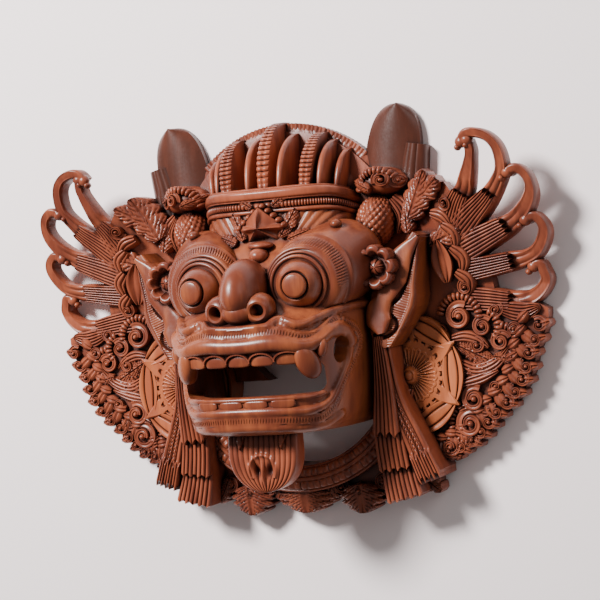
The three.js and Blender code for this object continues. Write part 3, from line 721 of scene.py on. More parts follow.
tongue = strip("tongue", [(0, -90), (0, -137)], tongue_width, lambda t: 3 * np.sin(np.pi * t) + 0.6, tongue_relief,
               ground=lambda x, y: 86 + 0 * x, floor=lambda x, y: 74 + 0 * x, steps=(100, 104))
pieces.append(tongue)
print("The tongue has", len(tongue.data.polygons), "faces")

# %% [markdown]
# ## Ruff plate and collar
# Behind the head stands a ring-shaped plate with small lobes on its rim. A raised collar follows the lower half
# of the round opening for the chin, and a broad leaf hangs at the bottom.

# %% Edge of the ruff, from straight down (0) to straight up (180)
RUFF_CENTRE = -30
BOTTOM_END, RIM_END, ROOT_END = 32, 91, 127  # turns at which the bottom, the rim and the feathers' root arc end


def reach_to(turn, cx, cy, radius):
    dx, dy = np.sin(np.radians(turn)), -np.cos(np.radians(turn))
    ox, oy = cx, cy - RUFF_CENTRE
    along = ox * dx + oy * dy
    return along + np.sqrt(np.maximum(0, radius**2 - (ox**2 + oy**2 - along**2)))


def ruff_edge(turn):
    lobe = 3 * np.abs(np.sin(np.radians(turn * 11)))
    rim = reach_to(turn, 62, -8, 126) + lobe
    root = reach_to(turn, 0, -14, 152)
    crest_arc = reach_to(turn, 0, 28, 86)
    low = 120 / np.cos(np.radians(np.minimum(turn, 60))) + lobe
    edge = np.where(turn < BOTTOM_END, low, rim)
    share = step_between(turn, RIM_END, RIM_END + 6)
    edge = np.where(turn < RIM_END, edge, rim * (1 - share) + root * share)
    share = step_between(turn, ROOT_END, ROOT_END + 9)
    return np.where(turn < ROOT_END, edge, (root - 3) * (1 - share) + crest_arc * share)


def from_centre(turn, reach):
    """The place at a turn and a reach from the ruff's centre"""
    return reach * np.sin(np.radians(turn)), RUFF_CENTRE - reach * np.cos(np.radians(turn))


def ruff_plate():
    """A grid bent round into a ring and closed where its ends meet"""
    spokes, rings = 264, 10
    turns = np.linspace(0, 360, spokes, endpoint=False)
    half = np.where(turns > 180, 360 - turns, turns)
    side = np.where(turns > 180, -1, 1)
    loops = []
    for share, top in [(s, 1) for s in np.linspace(0, 1, rings)] + [(s, 0) for s in np.linspace(1, 0, rings)]:
        x, y = from_centre(half, 42 * (1 - share) + ruff_edge(half) * share)
        z = ruff_top(x, y) - (1.5 if share > 0.99 else 0) if top else ruff_back(x, y)
        loops.append(np.stack([side * x, y, z], axis=1))
    count = len(loops)
    faces = [(i * spokes + j, i * spokes + (j + 1) % spokes, (i + 1) % count * spokes + (j + 1) % spokes,
              (i + 1) % count * spokes + j) for i in range(count) for j in range(spokes)]
    mesh = bpy.data.meshes.new("plate")
    mesh.from_pydata(to_scene(np.vstack(loops)).tolist(), [], faces)
    piece = bpy.data.objects.new("plate", mesh)
    bpy.context.scene.collection.objects.link(piece)
    return face_outwards(piece)


def neck_cutter():
    """The lower part of a cylinder"""
    bpy.ops.object.select_all(action="DESELECT")
    bpy.ops.mesh.primitive_cylinder_add(vertices=96, radius=76, depth=100)
    piece = bpy.context.object
    bpy.ops.object.mode_set(mode="EDIT")
    bpy.ops.mesh.select_all(action="SELECT")
    bpy.ops.mesh.bisect(plane_co=(0, -14, 0), plane_no=(0, 1, 0), clear_outer=True, use_fill=True)
    bpy.ops.object.mode_set(mode="OBJECT")
    write_points(piece, read_points(piece) + [0, -51, 10])
    return face_outwards(piece)


def collar_relief(u, t):
    rows = 1.5 * (np.abs(np.sin(np.pi * 46 * t)) ** 0.6 - 1) * (np.abs(u) > 0.2) * (np.abs(u) < 0.8)
    return rows - 1.2 * np.exp(-((np.abs(u) - 0.2) / 0.06) ** 2) - 1.2 * np.exp(-((np.abs(u) - 0.82) / 0.06) ** 2)


arc = np.radians(np.linspace(-165, -15, 40))
collar = strip("collar", np.stack([85.5 * np.cos(arc), -51 + 85.5 * np.sin(arc)], axis=1), listed([9.5, 9.5]),
               lambda t: 15 + 0 * t, strokes(collar_relief, rounded(3, 3)), floor=lambda x, y: 1 + 0 * x,
               steps=(340, 22))

# %% [markdown]
# ## Leaves, scrolls and frills
# A leaf is a strip with a lobed outline and slanted veins. A scroll is a strip wound into a spiral with a hollow
# between its raised edges and a ball in its eye. A frill is a comb of short ribs bent round a scroll, and a long
# leaf has ribs that follow its own bend. Each is carved once as a function and set down from lists.

# %% Leaf and scroll
def straight(x, y, turn, length, bend=0.0):
    t = np.linspace(0, 1, 9)
    a = np.radians(turn + bend * (t - 0.3))
    steps = length / 8
    return np.stack([x + np.r_[0, np.cumsum(np.cos(a[1:]))] * steps, y + np.r_[0, np.cumsum(np.sin(a[1:]))] * steps],
                    axis=1)


def leaf(x, y, turn, length, width, rise, lobes=4, bend=0.0, ground=ruff_top, floor=None):
    def half(t):
        outline = np.sin(np.pi * (0.14 + 0.8 * t)) ** 0.7
        return width / 2 * outline * (0.76 + 0.24 * np.abs(np.sin(np.pi * lobes * t)) ** 0.7)
    across = int(np.clip(width * 1.4, 12, 40)) // 2 * 2
    along = int(np.clip(length * 1.6, 24, 60))
    relief = strokes(veins(lobes * 2, 1.6), hollow(1.3, 0.12), rounded(rise * 0.4, 3))
    return strip("leaf", straight(x, y, turn, length, bend), half, lambda t: rise * (1 - 0.35 * t), relief,
                 ground=ground, floor=floor, steps=(along, across))


def lobe(x, y, turn, length, width, rise, ground=ruff_top):
    """A plump little lobe with one cut along it"""
    return strip("lobe", straight(x, y, turn, length, 24),
                 lambda t: width / 2 * np.sin(np.pi * (0.2 + 0.72 * t)) ** 0.6,
                 lambda t: rise * (0.7 + 0.3 * np.sin(np.pi * t)), strokes(hollow(1.3, 0.28), rounded(rise * 0.5, 2)),
                 ground=ground, steps=(14, 12))


def long_leaf(points, half, rise, cuts=3, ground=ruff_top):
    """A leaf that bends along a line, with ribs that run its whole length"""
    return strip("long_leaf", points, lambda t: half * np.sin(np.pi * (0.16 + 0.8 * t)) ** 0.6,
                 lambda t: rise * (1 - 0.3 * t),
                 strokes(ribs(cuts, 1.5), rounded(rise * 0.4, 3)), ground=ground, steps=(36, cuts * 6))


def scroll(cx, cy, radius, start, sense, rise, turns=1.35, ground=ruff_top):
    t = np.linspace(0, 1, 40)
    a = np.radians(start) + sense * turns * 2 * np.pi * t
    r = radius * (1 - 0.7 * t)
    route = np.stack([cx + r * np.cos(a), cy + r * np.sin(a)], axis=1)
    relief = strokes(hollow(1.2, 0.6), rounded(1.6, 4))
    band = strip("scroll", route, lambda s: radius * (0.32 - 0.14 * s), lambda s: rise * (0.65 + 0.35 * s), relief,
                 ground=ground, steps=(48, 8))
    x, y = cx + 0.05 * radius, cy
    eye = ball("eye", (x, y, ground(x, y) + rise * 0.6), (radius * 0.27, radius * 0.27, rise * 0.55), 0, 12)
    return [band, eye]


def frill(cx, cy, radius, start, span, rise, ground=ruff_top):
    """A comb of short ribs round the outside of a scroll"""
    count = max(3, round(np.radians(abs(span)) * radius / 3.2))
    a = np.radians(np.linspace(start, start + span, 24))
    route = np.stack([cx + radius * np.cos(a), cy + radius * np.sin(a)], axis=1)
    return strip("frill", route, lambda t: 2.9 * (0.72 + 0.28 * np.abs(np.sin(np.pi * count * t))),
                 lambda t: rise + 0 * t,
                 strokes(comb(count, 1.7), rounded(1.4, 2)), ground=ground, steps=(count * 7, 8))


centre_leaf = leaf(0, -141, -90, 21, 46, 11, 5)
neck = neck_cutter()
plate = fuse("ruff_plate", [ruff_plate(), collar, centre_leaf], [neck])
cutters.append(neck)
pieces.append(plate)

# %% [markdown]
# ## Feathers
# Five feathers fan out on each side. Each has a ribbed blade that ends in a step, and from under the step a
# smooth arm runs on, curls back and ends in a little ball that touches the next feather.

# %% Centre lines and widths of the feathers, from the inner one outwards
FEATHERS = [
    ([(126, 32), (136, 51), (143, 61), (147, 70), (150, 78), (152, 86), (151, 93)], [20, 20, 16, 13, 10, 7, 7]),
    ([(122, 22), (145, 42), (158, 53), (166, 62), (171, 70), (172, 79), (170, 88), (165, 94), (158, 97), (151, 97),
      (147, 92)], [24, 21, 20, 17, 14, 11, 9, 8, 7, 7, 7]),
    ([(126, 15), (149, 25), (161, 30), (170, 34), (179, 40), (186, 48), (189, 55), (189, 62), (186, 68), (181, 71),
      (175, 69)], [18, 20, 20, 18, 16, 13, 12, 10, 7, 7, 7]),
    ([(126, 3), (150, 6), (164, 8), (177, 10), (186, 14), (192, 22), (194, 29), (192, 35), (188, 38), (182, 36)],
     [18, 17, 16, 15, 14, 10.8, 9.6, 8.7, 7, 7]),
    ([(126, -14), (148, -17), (164, -19), (179, -17), (187, -11), (190, -5), (189, 0), (187, 5), (182, 4)],
     [20, 18, 17, 16, 13, 11, 9, 8, 7]),
]


def arm_relief(u, t):
    notches = 1.6 * (np.abs(np.sin(np.pi * 2.5 * (u + 1) / 2 + 0.5)) ** 0.6 - 1) * (1 - step_between(t, 0.5, 0.66))
    recess = -1.6 * step_between(t, 0.34, 0.37) * (1 - step_between(t, 0.45, 0.6))
    curl = step_between(t, 0.5, 0.6) * (1 - step_between(t, 0.85, 0.95))
    edges = 0.9 * np.exp(-((np.abs(u) - 0.72) / 0.14) ** 2) * curl
    return notches + recess + edges - 2.4 * np.abs(u) ** 4


def blade_relief(u, t):
    return 1.5 * (np.abs(np.sin(np.pi * 8 * (u + 1) / 2)) ** 0.7 - 1) - 1.2 * np.abs(u) ** 6


def feather(points, widths):
    halves = listed(np.array(widths) / 2)
    arm = strip("arm", points, halves, lambda t: 0 * t, arm_relief, floor=lambda x, y: ruff_back(x, y) + 2,
                steps=(90, 20))
    root = smooth_line(points, 100)[6:46]
    blade = strip("blade", root, lambda t: halves(0.06 + 0.38 * t) * 0.97, lambda t: 4 - 0.4 * t, blade_relief,
                  floor=lambda x, y: ruff_back(x, y) + 6, steps=(32, 64), end=zigzag(4, 0.08))
    x, y = points[-1]
    z = float(ruff_top(x, y)) - 3.4
    curl = ball("ball", (x, y, z), (4.4, 4.4, 4.6), 0, 20)
    (ax, ay), (bx, by) = points[-2:]
    nub = ball("nub", (x + 0.7 * (x - ax), y + 0.7 * (y - by) - 3.6, z), (2.4, 2.4, 4), 0, 14)
    return [arm, blade, curl, nub]


def zigzag(teeth, depth):
    """An end cut to points. u runs across the strip from -1 to 1."""
    return lambda u: 1 - depth * np.abs(np.cos(np.pi * teeth * (u + 1) / 2))


wing = fuse("wing_right", [part for points, widths in FEATHERS for part in feather(points, widths)])
pieces += [wing, mirrored(wing, "wing_left")]

# %% [markdown]
# ## Scrollwork of the ruff
# The field outside the rosette is filled with spirals, leaves and small curls that grow into one another, and the
# rim ends in small curls with lobes round them. The big ones stand where they stand on the real mask, and the
# small curls follow the rim's curve.

# %% Places of the ornament on the right half
SCROLLS = [
    # centre, radius, starting turn, sense and rise
    (127, -27, 9, 60, 1, 9), (143, -35, 7, 40, 1, 7), (155, -46, 7, 20, 1, 6), (138, -48, 6, 200, -1, 7),
    (133, -85, 8.5, 60, 1, 8), (129, -102, 9.5, 70, 1, 8), (149, -77, 5, 40, -1, 6), (113, -118, 7, 120, -1, 7),
    (143, -93, 3.8, 0, 1, 6), (125, -114, 5, 30, -1, 6), (162, -57, 4, 40, 1, 6), (112, -36, 5, 180, 1, 7),
    (141, -64, 4.5, 10, 1, 6), (153, -24, 5, 60, -1, 6), (165, -38, 4.5, 0, 1, 6), (60, -141, 5.5, 60, 1, 7),
    (28, -144, 5.5, 120, -1, 7), (43, -146, 4, 90, 1, 12), (128, 52, 5, 200, 1, 7), (133, -7, 5, 90, 1, 8),
]
FRILLS = [
    # centre, radius, start, span and rise
    (127, -27, 14, -10, 185, 6), (143, -35, 11, -50, 120, 5), (133, -85, 13, 95, 130, 5),
    (129, -102, 14.4, 120, 150, 5),
    (155, -46, 11, -60, 150, 4.5), (138, -48, 10, 180, 120, 4),
]
LEAVES = [
    # root, turn, length, width and rise
    (122, -46, -28, 36, 12, 6), (126, -66, 12, 30, 12, 6), (43, -142, -88, 21, 34, 11, 4), (98, 44, 62, 36, 24, 12, 4),
    (112, 24, 20, 26, 18, 8, 3), (106, 56, 34, 24, 18, 10, 3), (100, -118, -20, 22, 12, 6), (60, -136, -60, 20, 14, 8),
    (22, -138, -110, 18, 16, 8), (88, -136, -40, 20, 14, 7), (96, 34, 96, 20, 14, 11, 3), (150, -56, -14, 18, 9, 6, 3),
]
LONG_LEAVES = [
    # points along it, half width, rise and number of ribs
    ([(121, -42), (130, -41), (139, -44), (146, -50)], 4.6, 7, 3),
    ([(123, -59), (136, -65), (150, -61), (161, -50)], 5.4, 6.5, 4), ([(124, -74), (138, -71), (152, -66)], 4.6, 7, 3),
    ([(158, -24), (172, -27), (184, -24)], 7, 4, 6),
    ([(122, -92), (128, -90), (140, -96), (147, -92)], 3.6, 6, 2), ([(118, -108), (124, -110), (134, -112)], 3.6, 6, 2),
    ([(124, 37), (131, 30), (131, 20)], 5.6, 8, 3), ([(128, 21), (135, 13), (133, 3)], 5.6, 8, 3),
    ([(129, 4), (136, -3), (134, -13)], 5.4, 8, 3), ([(116, 46), (124, 43), (130, 36)], 5, 8, 3),
]
RIM_COUNT = 14


def rim_ornament():
    made = []
    for i in range(RIM_COUNT):
        turn = 88.0 - 3.1 * i
        x, y = from_centre(turn, float(ruff_edge(turn)) - 4.4)
        out = np.degrees(np.arctan2(y + 8, x - 62))
        made += scroll(x, y, 5.4, out + 140, 1 if i % 2 else -1, 6.5, 1.1)
        made.append(lobe(x, y, out + 22, 8, 7, 5.5))
        made.append(lobe(*from_centre(turn - 1.6, float(ruff_edge(turn - 1.6)) - 15), out - 30, 12, 9, 6))
        made.append(lobe(*from_centre(turn + 0.9, float(ruff_edge(turn)) - 19), out + 50, 10, 8, 6.5))
    return made


def bud(x, y, turn, length, half):
    """A dished almond with a rib along it"""
    a = np.radians(turn)
    return strip("bud", straight(x - np.cos(a) * length / 2, y - np.sin(a) * length / 2, turn, length),
                 lambda t: half * np.sin(np.pi * (0.04 + 0.92 * t)) ** 0.8, lambda t: 9 + 0 * t,
                 strokes(hollow(2.6, 0.8), bead(1.6, 0.3)), steps=(44, 22))


scrollwork = fuse("scrollwork_right", [p for s in SCROLLS for p in scroll(*s)] + [frill(*one) for one in FRILLS]
                  + [leaf(*one) for one in LEAVES] + [long_leaf(*one) for one in LONG_LEAVES]
                  + [bud(120, 12, 96, 30, 7.5)] + rim_ornament())
pieces += [scrollwork, mirrored(scrollwork, "scrollwork_left")]

# %% [markdown]
# ## Rosette
# Beside the chin sits a round sun: a boss with fine rays and a scalloped edge, on a six-pointed star with
# little crescents cut in it, and six long petals, each with a lens between two grooves, round it. The sun and
# the star are discs whose height depends on the distance from the middle and on the turn, and one petal is
# repeated six times. The ring is a little taller than it is wide.

# %% Carve the rosette
ROSETTE = (89, -66)


def sun_height(r, a):
    rays = 1.7 * (np.abs(np.sin(19 * a)) ** 0.8 - 1) * step_between(r, 0.3, 0.36) * (1 - step_between(r, 0.86, 0.9))
    boss = 5.0 * np.sqrt(np.clip(1 - (r / 0.3) ** 2, 0, 1)) - 1.2 * np.exp(-((r - 0.16) / 0.035) ** 2)
    return PLATE + 11 + rays + boss - 2 * r - 0.8 * step_between(r, 0.95, 1)


def from_petal(a):
    """Degrees between a turn and the middle of the nearest petal"""
    return np.abs((np.degrees(a) + 30) % 60 - 30)


def star_radius(a):
    return 25 + 15 * np.clip((from_petal(a) - 17) / 13, 0, 1) ** 1.2


def star_height(r, a):
    reach = r * star_radius(a)
    near = (np.degrees(a) + 7.5) % 15 - 7.5
    crescent = np.exp(-((reach - 23 + (near / 4.5) ** 2) / 0.7) ** 2) * (np.abs(near) < 3.6)
    return PLATE + 8.6 + 1.6 * step_between(reach, 28, 38) - 1.8 * crescent - 1.0 * step_between(r, 0.94, 1)


def petal(i):
    a = i * np.pi / 3
    out, ahead = np.array([np.cos(a), np.sin(a)]), np.array([-np.sin(a), np.cos(a)])
    s = np.linspace(-0.5, 0.5, 9)[:, None] * 37
    route = np.array(ROSETTE) + out * (31 - 4 * s**2 / 37**2) + ahead * s
    cuts = strokes(hollow(1.6, 0.85), bead(1.0, 0.42), lambda u, t: -1.2 * np.exp(-((np.abs(u) - 0.5) / 0.06) ** 2))
    return strip("petal", route, lambda t: 7.5 * np.sin(np.pi * (0.05 + 0.9 * t)) ** 0.8, lambda t: 9 - 0.6 * t, cuts,
                 floor=lambda x, y: 2 + 0 * x, steps=(48, 32))


def stretched(piece):
    return reshape(piece, lambda points: (points - [0, ROSETTE[1], 0]) * [1, 1.12, 1] + [0, ROSETTE[1], 0])


sun = disc("sun", ROSETTE, lambda a: 19.5 + 1.3 * np.abs(np.sin(12 * a)), sun_height, 2, 90)
star = stretched(disc("star", ROSETTE, star_radius, star_height, 2, 90))
rosette = fuse("rosette_right", [sun, star] + [stretched(petal(i)) for i in range(6)])
pieces += [rosette, mirrored(rosette, "rosette_left")]

# %% [markdown]
# ## Ear and flower
# The ear is a tall curled leaf that stands clear of the ruff: a flat front rim, a deep channel and an inner lobe.
# In front of it sits a flower stud, a cup with a wavy rim round a button.

# %% Carve the ear
def ear_strip(name, points, width, rise, relief, steps, drawn=None):
    return strip(name, points, width, rise, relief, ground=lambda x, y: 0 * x, floor=lambda x, y: 2 + 0 * x,
                 steps=steps, drawn=drawn)


def ear_comb(u, t):
    return 0.6 * (np.abs(np.sin(np.pi * 48 * t)) ** 0.6 - 1) * (u > -0.72) * (u < -0.1) + bead(1.2, 0.12, -0.88)(u, t)


EAR_CUT = [(110, 30), (106, 21), (102, 8), (94, -10), (87, -15), (84, -19), (87, -22), (91, -26), (91, -31), (87, -35),
           (81, -37), (75, -35)]
ear = fuse("ear_right", [
    ear_strip("outer", [(108, 33), (104, 24), (100, 15), (94, 2), (88, -14), (83, -30), (83, -44)],
              listed([3, 5.5, 8, 10.3, 12.6, 15.5, 16.2, 15, 13.5, 10.5, 3]), lambda t: 42 + 8 * t,
              strokes(ear_comb, rounded(1.5, 8)), (150, 40), line_cut(EAR_CUT, 1.5, 3)),
    ear_strip("inner", [(110, 31), (98, 18), (90, 2), (83, -11), (79, -20), (81, -34)],
              listed([1.5, 4.5, 7, 9, 10, 8, 6.2, 8.5, 9, 3]), lambda t: 45 + 9 * t, rounded(1.6, 5), (80, 24)),
])
pieces += [ear, mirrored(ear, "ear_left")]

# %% Carve the flower
FLOWER = (81, 12)


def flower_height(r, a):
    petals = 1 - np.abs(np.cos(4 * a)) ** 0.5
    rim = 3.2 * np.sqrt(np.clip(1 - ((r - 0.84) / 0.17) ** 2, 0, 1))
    dish = -6 * (1 - step_between(r, 0.42, 0.7))
    button = 6.5 * np.sqrt(np.clip(1 - (r / 0.4) ** 2, 0, 1))
    star = -1.4 * np.exp(-(np.sin(2.5 * a) / 0.16) ** 2) * (r < 0.36) * (r > 0.05)
    return 55 + rim + dish + button + star - 1.5 * petals * step_between(r, 0.6, 0.9)


def flower_radius(a):
    return 15.5 * (1 - 0.16 * (1 - np.abs(np.cos(4 * a)) ** 0.6))


stem_profile = [(0, 6), (10, 6), (11.5, 30), (13, 48), (12, 50), (0, 50)]
flower = fuse("flower_right", [disc("cup", FLOWER, flower_radius, flower_height, 46, 90),
                               turned("stem", stem_profile, (*FLOWER, 0), (0, 0), 48)])
pieces += [flower, mirrored(flower, "flower_left")]

# %% [markdown]
# ## Sash
# A ribbon and a tail of three stepped tiers hang from the ear over the rosette. The tiers are ribbed along and
# cut to a zigzag at their ends, one over the other like shingles.

# %% Carve the sash
def fall(points, near, far, high, low, teeth, count):
    return strip("fall", points, lambda t: near + (far - near) * t, lambda t: high + (low - high) * t,
                 strokes(ribs(count, 1.7), rounded(2, 4)), ground=lambda x, y: 0 * x, floor=lambda x, y: 3 + 0 * x,
                 steps=(60, 56), end=zigzag(teeth, 0.06))


def plait(u, t):
    return 1.2 * (np.abs(np.sin(np.pi * (30 * t + 1.5 * u))) ** 0.6 - 1) * (np.abs(u) < 0.4)


def ribbon_relief(u, t):
    spread = step_between(t, 0.8, 0.84)
    return plait(u, t) * (1 - spread) + ribs(4, 1.3)(u, t) * (1 - spread) + ribs(8, 1.5)(u, t) * spread + 1.5 * spread


ribbon = strip("ribbon", [(80, -42), (83, -78), (94, -110), (104, -139)], lambda t: 4 + 5 * t, lambda t: 47 - 8 * t,
               strokes(ribbon_relief, rounded(1.5, 4)), ground=lambda x, y: 0 * x,
               floor=lambda x, y: 3 + 0 * x, steps=(170, 48), end=zigzag(5, 0.05))
sash = fuse("sash_right", [
    fall([(77, -36), (77, -70), (75, -107)], 4, 10, 51, 46.5, 3, 6),
    fall([(76, -90), (76, -112), (78, -131)], 11, 12, 41, 42, 4, 7),
    fall([(77, -118), (80, -138), (83, -152)], 12, 14, 35, 39, 5, 8),
    ribbon,
])
pieces += [sash, mirrored(sash, "sash_left")]

# %% [markdown]
# ## Horn blades and teardrops
# A plain blade stands up behind the crest on each side, with a lower one beside it. Between the crest and the
# flower sits a teardrop cut all over with scales, and a leafy curl lies over it.

# %% Carve the blades and the teardrop
horn = fuse("horn_blade_right", [
    strip("tall", [(80, 50), (82, 80), (86, 104), (90.8, 125.8)], lambda t: 21 * np.sqrt(np.clip(1 - t**5, 0, 1)),
          lambda t: 13 + 0 * t, rounded(6, 2), ground=lambda x, y: 0 * x,
          floor=lambda x, y: 1 + 0 * x, steps=(60, 24)),
    strip("low", [(94, 50), (98, 76), (102, 96)], lambda t: 10.6 * (1 - 0.25 * t**2), lambda t: 15 + 0 * t,
          strokes(rounded(5, 2), ribs(3, 0.8)), ground=lambda x, y: 0 * x, floor=lambda x, y: 1 + 0 * x,
          steps=(40, 24)),
])
pieces += [horn, mirrored(horn, "horn_blade_left")]


def scales(points):
    x, y, z = points.T
    around, up = np.arctan2(z, x), np.arcsin(np.clip(y, -1, 1))
    wave = np.abs(np.sin(9 * around + 9 * up)) ** 0.6 * np.abs(np.sin(9 * around - 9 * up)) ** 0.6
    return 1 - 0.08 * (1 - wave)


def curl_ground(x, y):
    return 27 - 0.12 * (np.asarray(x) - 76) ** 2 / 3 + 0 * y


def shifted(piece, tilt, place):
    return reshape(piece, lambda points: turned_flat(points, tilt) + place)


teardrop = fuse("teardrop_right", [
    shifted(oval("drop", (0, 0, 0), (14, 19, 19), (0, 0), 120, scales), -12, (72, 44, 20)),
    oval("curl_bed", (77, 71, 12), (19, 11, 19), (0, 0), 48),
    *scroll(82, 72, 6, 200, -1, 10, 1.3, curl_ground), *scroll(92, 71, 5, 160, 1, 9, 1.3, curl_ground),
    frill(78, 62, 17, 20, 150, 8, curl_ground), leaf(74, 66, 158, 19, 10, 10, 3, ground=curl_ground),
    long_leaf([(86, 60), (93, 52), (94, 42)], 5, 8), long_leaf([(84, 58), (90, 46), (87, 34)], 4, 10),
], [below])
pieces += [teardrop, mirrored(teardrop, "teardrop_left")]

# %% [markdown]
# ## Crest, forehead band and jewel
# Behind the forehead lies a low bed, and nine thin fins stand on it. Each fin rises as high as the forehead in
# front and sweeps back in a quarter round to the wall. The middle one and the outer pair are thick and toothed,
# and the ones between are thin and smooth. A plain belt with a comb line below it closes the forehead, and a
# five-cornered jewel sits in its middle.

# %% Carve the crest
CREST_RADIUS, CREST_CENTRE, SPREAD = 94, 28, 100
CREST_FINS = [
    # root's distance from the middle, tip's turn, tip's drop below the arc and share of the thickness
    (0, 0, 1, 1), (12, 9, 9, 0.55), (30, 21.7, 4.7, 1), (39, 28.6, 6.3, 0.55), (48, 36.6, 6.8, 0.55),
]


def crest_bed():
    """The hull of the forehead line, the arcs at the back and two points inside"""
    turns = np.radians(np.linspace(-SPREAD / 2, SPREAD / 2, 31))
    arcs = [np.stack([r * np.sin(turns), CREST_CENTRE + r * np.cos(turns), z + 0 * turns], axis=1)
            for r, z in ((CREST_RADIUS - 2, 1), (CREST_RADIUS - 4, 8))]
    brow = head_point(np.linspace(-85, 85, 31), 68.0) * [1, 1, 0.45]
    points = np.vstack([brow, *arcs, [[-50, CREST_CENTRE, 2], [50, CREST_CENTRE, 2]]])
    mesh = bpy.data.meshes.new("bed")
    mesh.from_pydata(to_scene(points).tolist(), [], [])
    piece = bpy.data.objects.new("bed", mesh)
    bpy.context.scene.collection.objects.link(piece)
    bpy.ops.object.select_all(action="DESELECT")
    piece.select_set(True)
    bpy.context.view_layer.objects.active = piece
    bpy.ops.object.mode_set(mode="EDIT")
    bpy.ops.mesh.select_all(action="SELECT")
    bpy.ops.mesh.convex_hull()
    bpy.ops.object.mode_set(mode="OBJECT")
    return face_outwards(piece)


def fin(side, root_x, tip_turn, drop, share):
    reach, a = CREST_RADIUS - drop, np.radians(side * tip_turn)
    tip = np.array([reach * np.sin(a), CREST_CENTRE + reach * np.cos(a)])
    root = head_point(turn_at(side * root_x, 68.0), 68.0)

    def top(t):
        return 8 + (root[2] - 9) * np.clip(1 - t**2.3, 0, 1) ** (1 / 2.3)

    def edge(u, t):
        arc_share = np.arcsin(np.clip(t, 0, 1)) * 2 / np.pi
        if share < 1:
            return -2.5 * np.abs(u) ** 2.5
        notch = 1.6 * (np.abs(np.sin(np.pi * 19 * arc_share)) ** 0.7 - 1) * step_between(arc_share, 0.05, 0.2)
        return notch - 1.2 * np.abs(u) ** 4 - 0.9 * np.exp(-(u / 0.2) ** 2)
    return strip("fin", [root[:2], (root[:2] + tip) / 2, tip], lambda t: 4 * share * (0.85 + 0.3 * np.sin(np.pi * t)),
                 top, edge, ground=lambda x, y: 0 * x, floor=lambda x, y: 1 + 0 * x, steps=(152, 14),
                 pace=lambda t: np.sin(np.pi / 2 * t))


def rear_rim():
    """A scalloped edge along the back of the bed"""
    a = np.radians(np.linspace(-45, 45, 40))
    route = np.stack([(CREST_RADIUS - 4) * np.sin(a), CREST_CENTRE + (CREST_RADIUS - 4) * np.cos(a)], axis=1)
    return strip("rear_rim", route, lambda t: 1.8 + 0.6 * np.abs(np.sin(np.pi * 44 * t)), lambda t: 9 + 0 * t,
                 comb(44, 1), ground=lambda x, y: 0 * x, floor=lambda x, y: 1 + 0 * x, steps=(200, 8))


crest = fuse("crest", [crest_bed(), rear_rim()]
             + [fin(side, *one) for one in CREST_FINS for side in (1, -1) if one[0] or side > 0], [inside, below])
pieces.append(crest)

# %% Carve the forehead band and the jewel
def skin_strip(name, right, half, proud, relief, steps):
    """A strip laid on the head along a line of turns and heights"""
    along, across = steps
    piece = slab(name, along, across)
    u, v, level = read_points(piece).T
    places, outs = skin_line(right, along)
    heading = np.gradient(places, axis=0)
    t = (v + 1) / 2
    at = np.linspace(0, 1, along + 1)
    place, out, ahead = (np.stack([np.interp(t, at, c) for c in each.T], axis=1) for each in (places, outs, heading))
    side = np.cross(ahead, out)
    side /= np.linalg.norm(side, axis=1)[:, None]
    high = np.where(level > -0.5, proud * (1 - 0.5 * np.abs(u) ** 3) + relief(u, t), -4)
    write_points(piece, place + side * (u * half)[:, None] + out * high[:, None])
    return face_outwards(piece)


BAND = [(0, 69), (50, 68), (82, 62)]
band = fuse("forehead_band", [
    skin_strip("belt", BAND, 4.5, 5, lambda u, t: -1.0 * np.exp(-((np.abs(u) - 0.7) / 0.08) ** 2), (160, 16)),
    skin_strip("comb_line", [(turn, y - 7.6) for turn, y in BAND], 2.4, 3.6, comb(70, 1.4), (420, 6)),
    skin_strip("lower_line", [(turn, y - 12) for turn, y in BAND], 1.6, 2.4, lambda u, t: 0 * u, (120, 6)),
], [inside, below])
pieces.append(band)


def jewel():
    """A five-cornered stone with a hollow ridge from each corner to its peak"""
    outline = np.array([(0, 0.5), (1, 0), (0.7, -0.32), (-0.7, -0.32), (-1, 0)]) * [17.5, 30]
    corner_turn = np.arctan2(outline[:, 1], outline[:, 0])
    order = np.argsort(corner_turn)
    corner_turn, corner = corner_turn[order], outline[order]

    def radius(a):
        i = np.searchsorted(corner_turn, a) % 5
        p, q = corner[i - 1], corner[i]
        cross = lambda m, n: m[..., 0] * n[..., 1] - m[..., 1] * n[..., 0]
        return cross(p, q - p) / cross(np.stack([np.cos(a), np.sin(a)], axis=-1), q - p)

    def height(r, a):
        ridge = np.max([np.exp(-(((a - c + np.pi) % (2 * np.pi) - np.pi) / 0.16) ** 2) for c in corner_turn], axis=0)
        swell = np.clip(r * (1 - r) * 4, 0, 1)
        return 57 + 10 * (1 - r) + 5 * r * np.sin(a) + 1.8 * ridge * np.sqrt(swell) - 1.8 * (1 - ridge) * swell
    return disc("stone", (0, 45), radius, height, 42, 80)


def forehead_leaf(x, y, turn, length, width, rise):
    return leaf(x, y, turn, length, width, rise, 3, ground=head_front, floor=lambda p, q: head_front(p, q) - 5)


frills = [ball("frill", (side * (1.5 + 15.5 * k), 60.5 - 14 * k, 56), (2.4, 2.4, 5), 0, 14)
          for k in np.linspace(0, 1, 5) for side in (1, -1)]
leaves = [forehead_leaf(side * x, y, 90 - side * (90 - turn), length, width, 5)
          for x, y, turn, length, width in ((14, 38, 62, 22, 11), (20, 36, 20, 15, 9), (8, 60, 35, 14, 8))
          for side in (1, -1)]
jewel_piece = fuse("jewel", [jewel(), oval("bead", (0, 26, 66), (7, 6, 8), (0, 0), 32),
                             oval("small_bead", (0, 33, 62), (9.5, 3.2, 8), (0, 0), 32)] + frills + leaves, [inside])
pieces.append(jewel_piece)
clear_away(cutters)

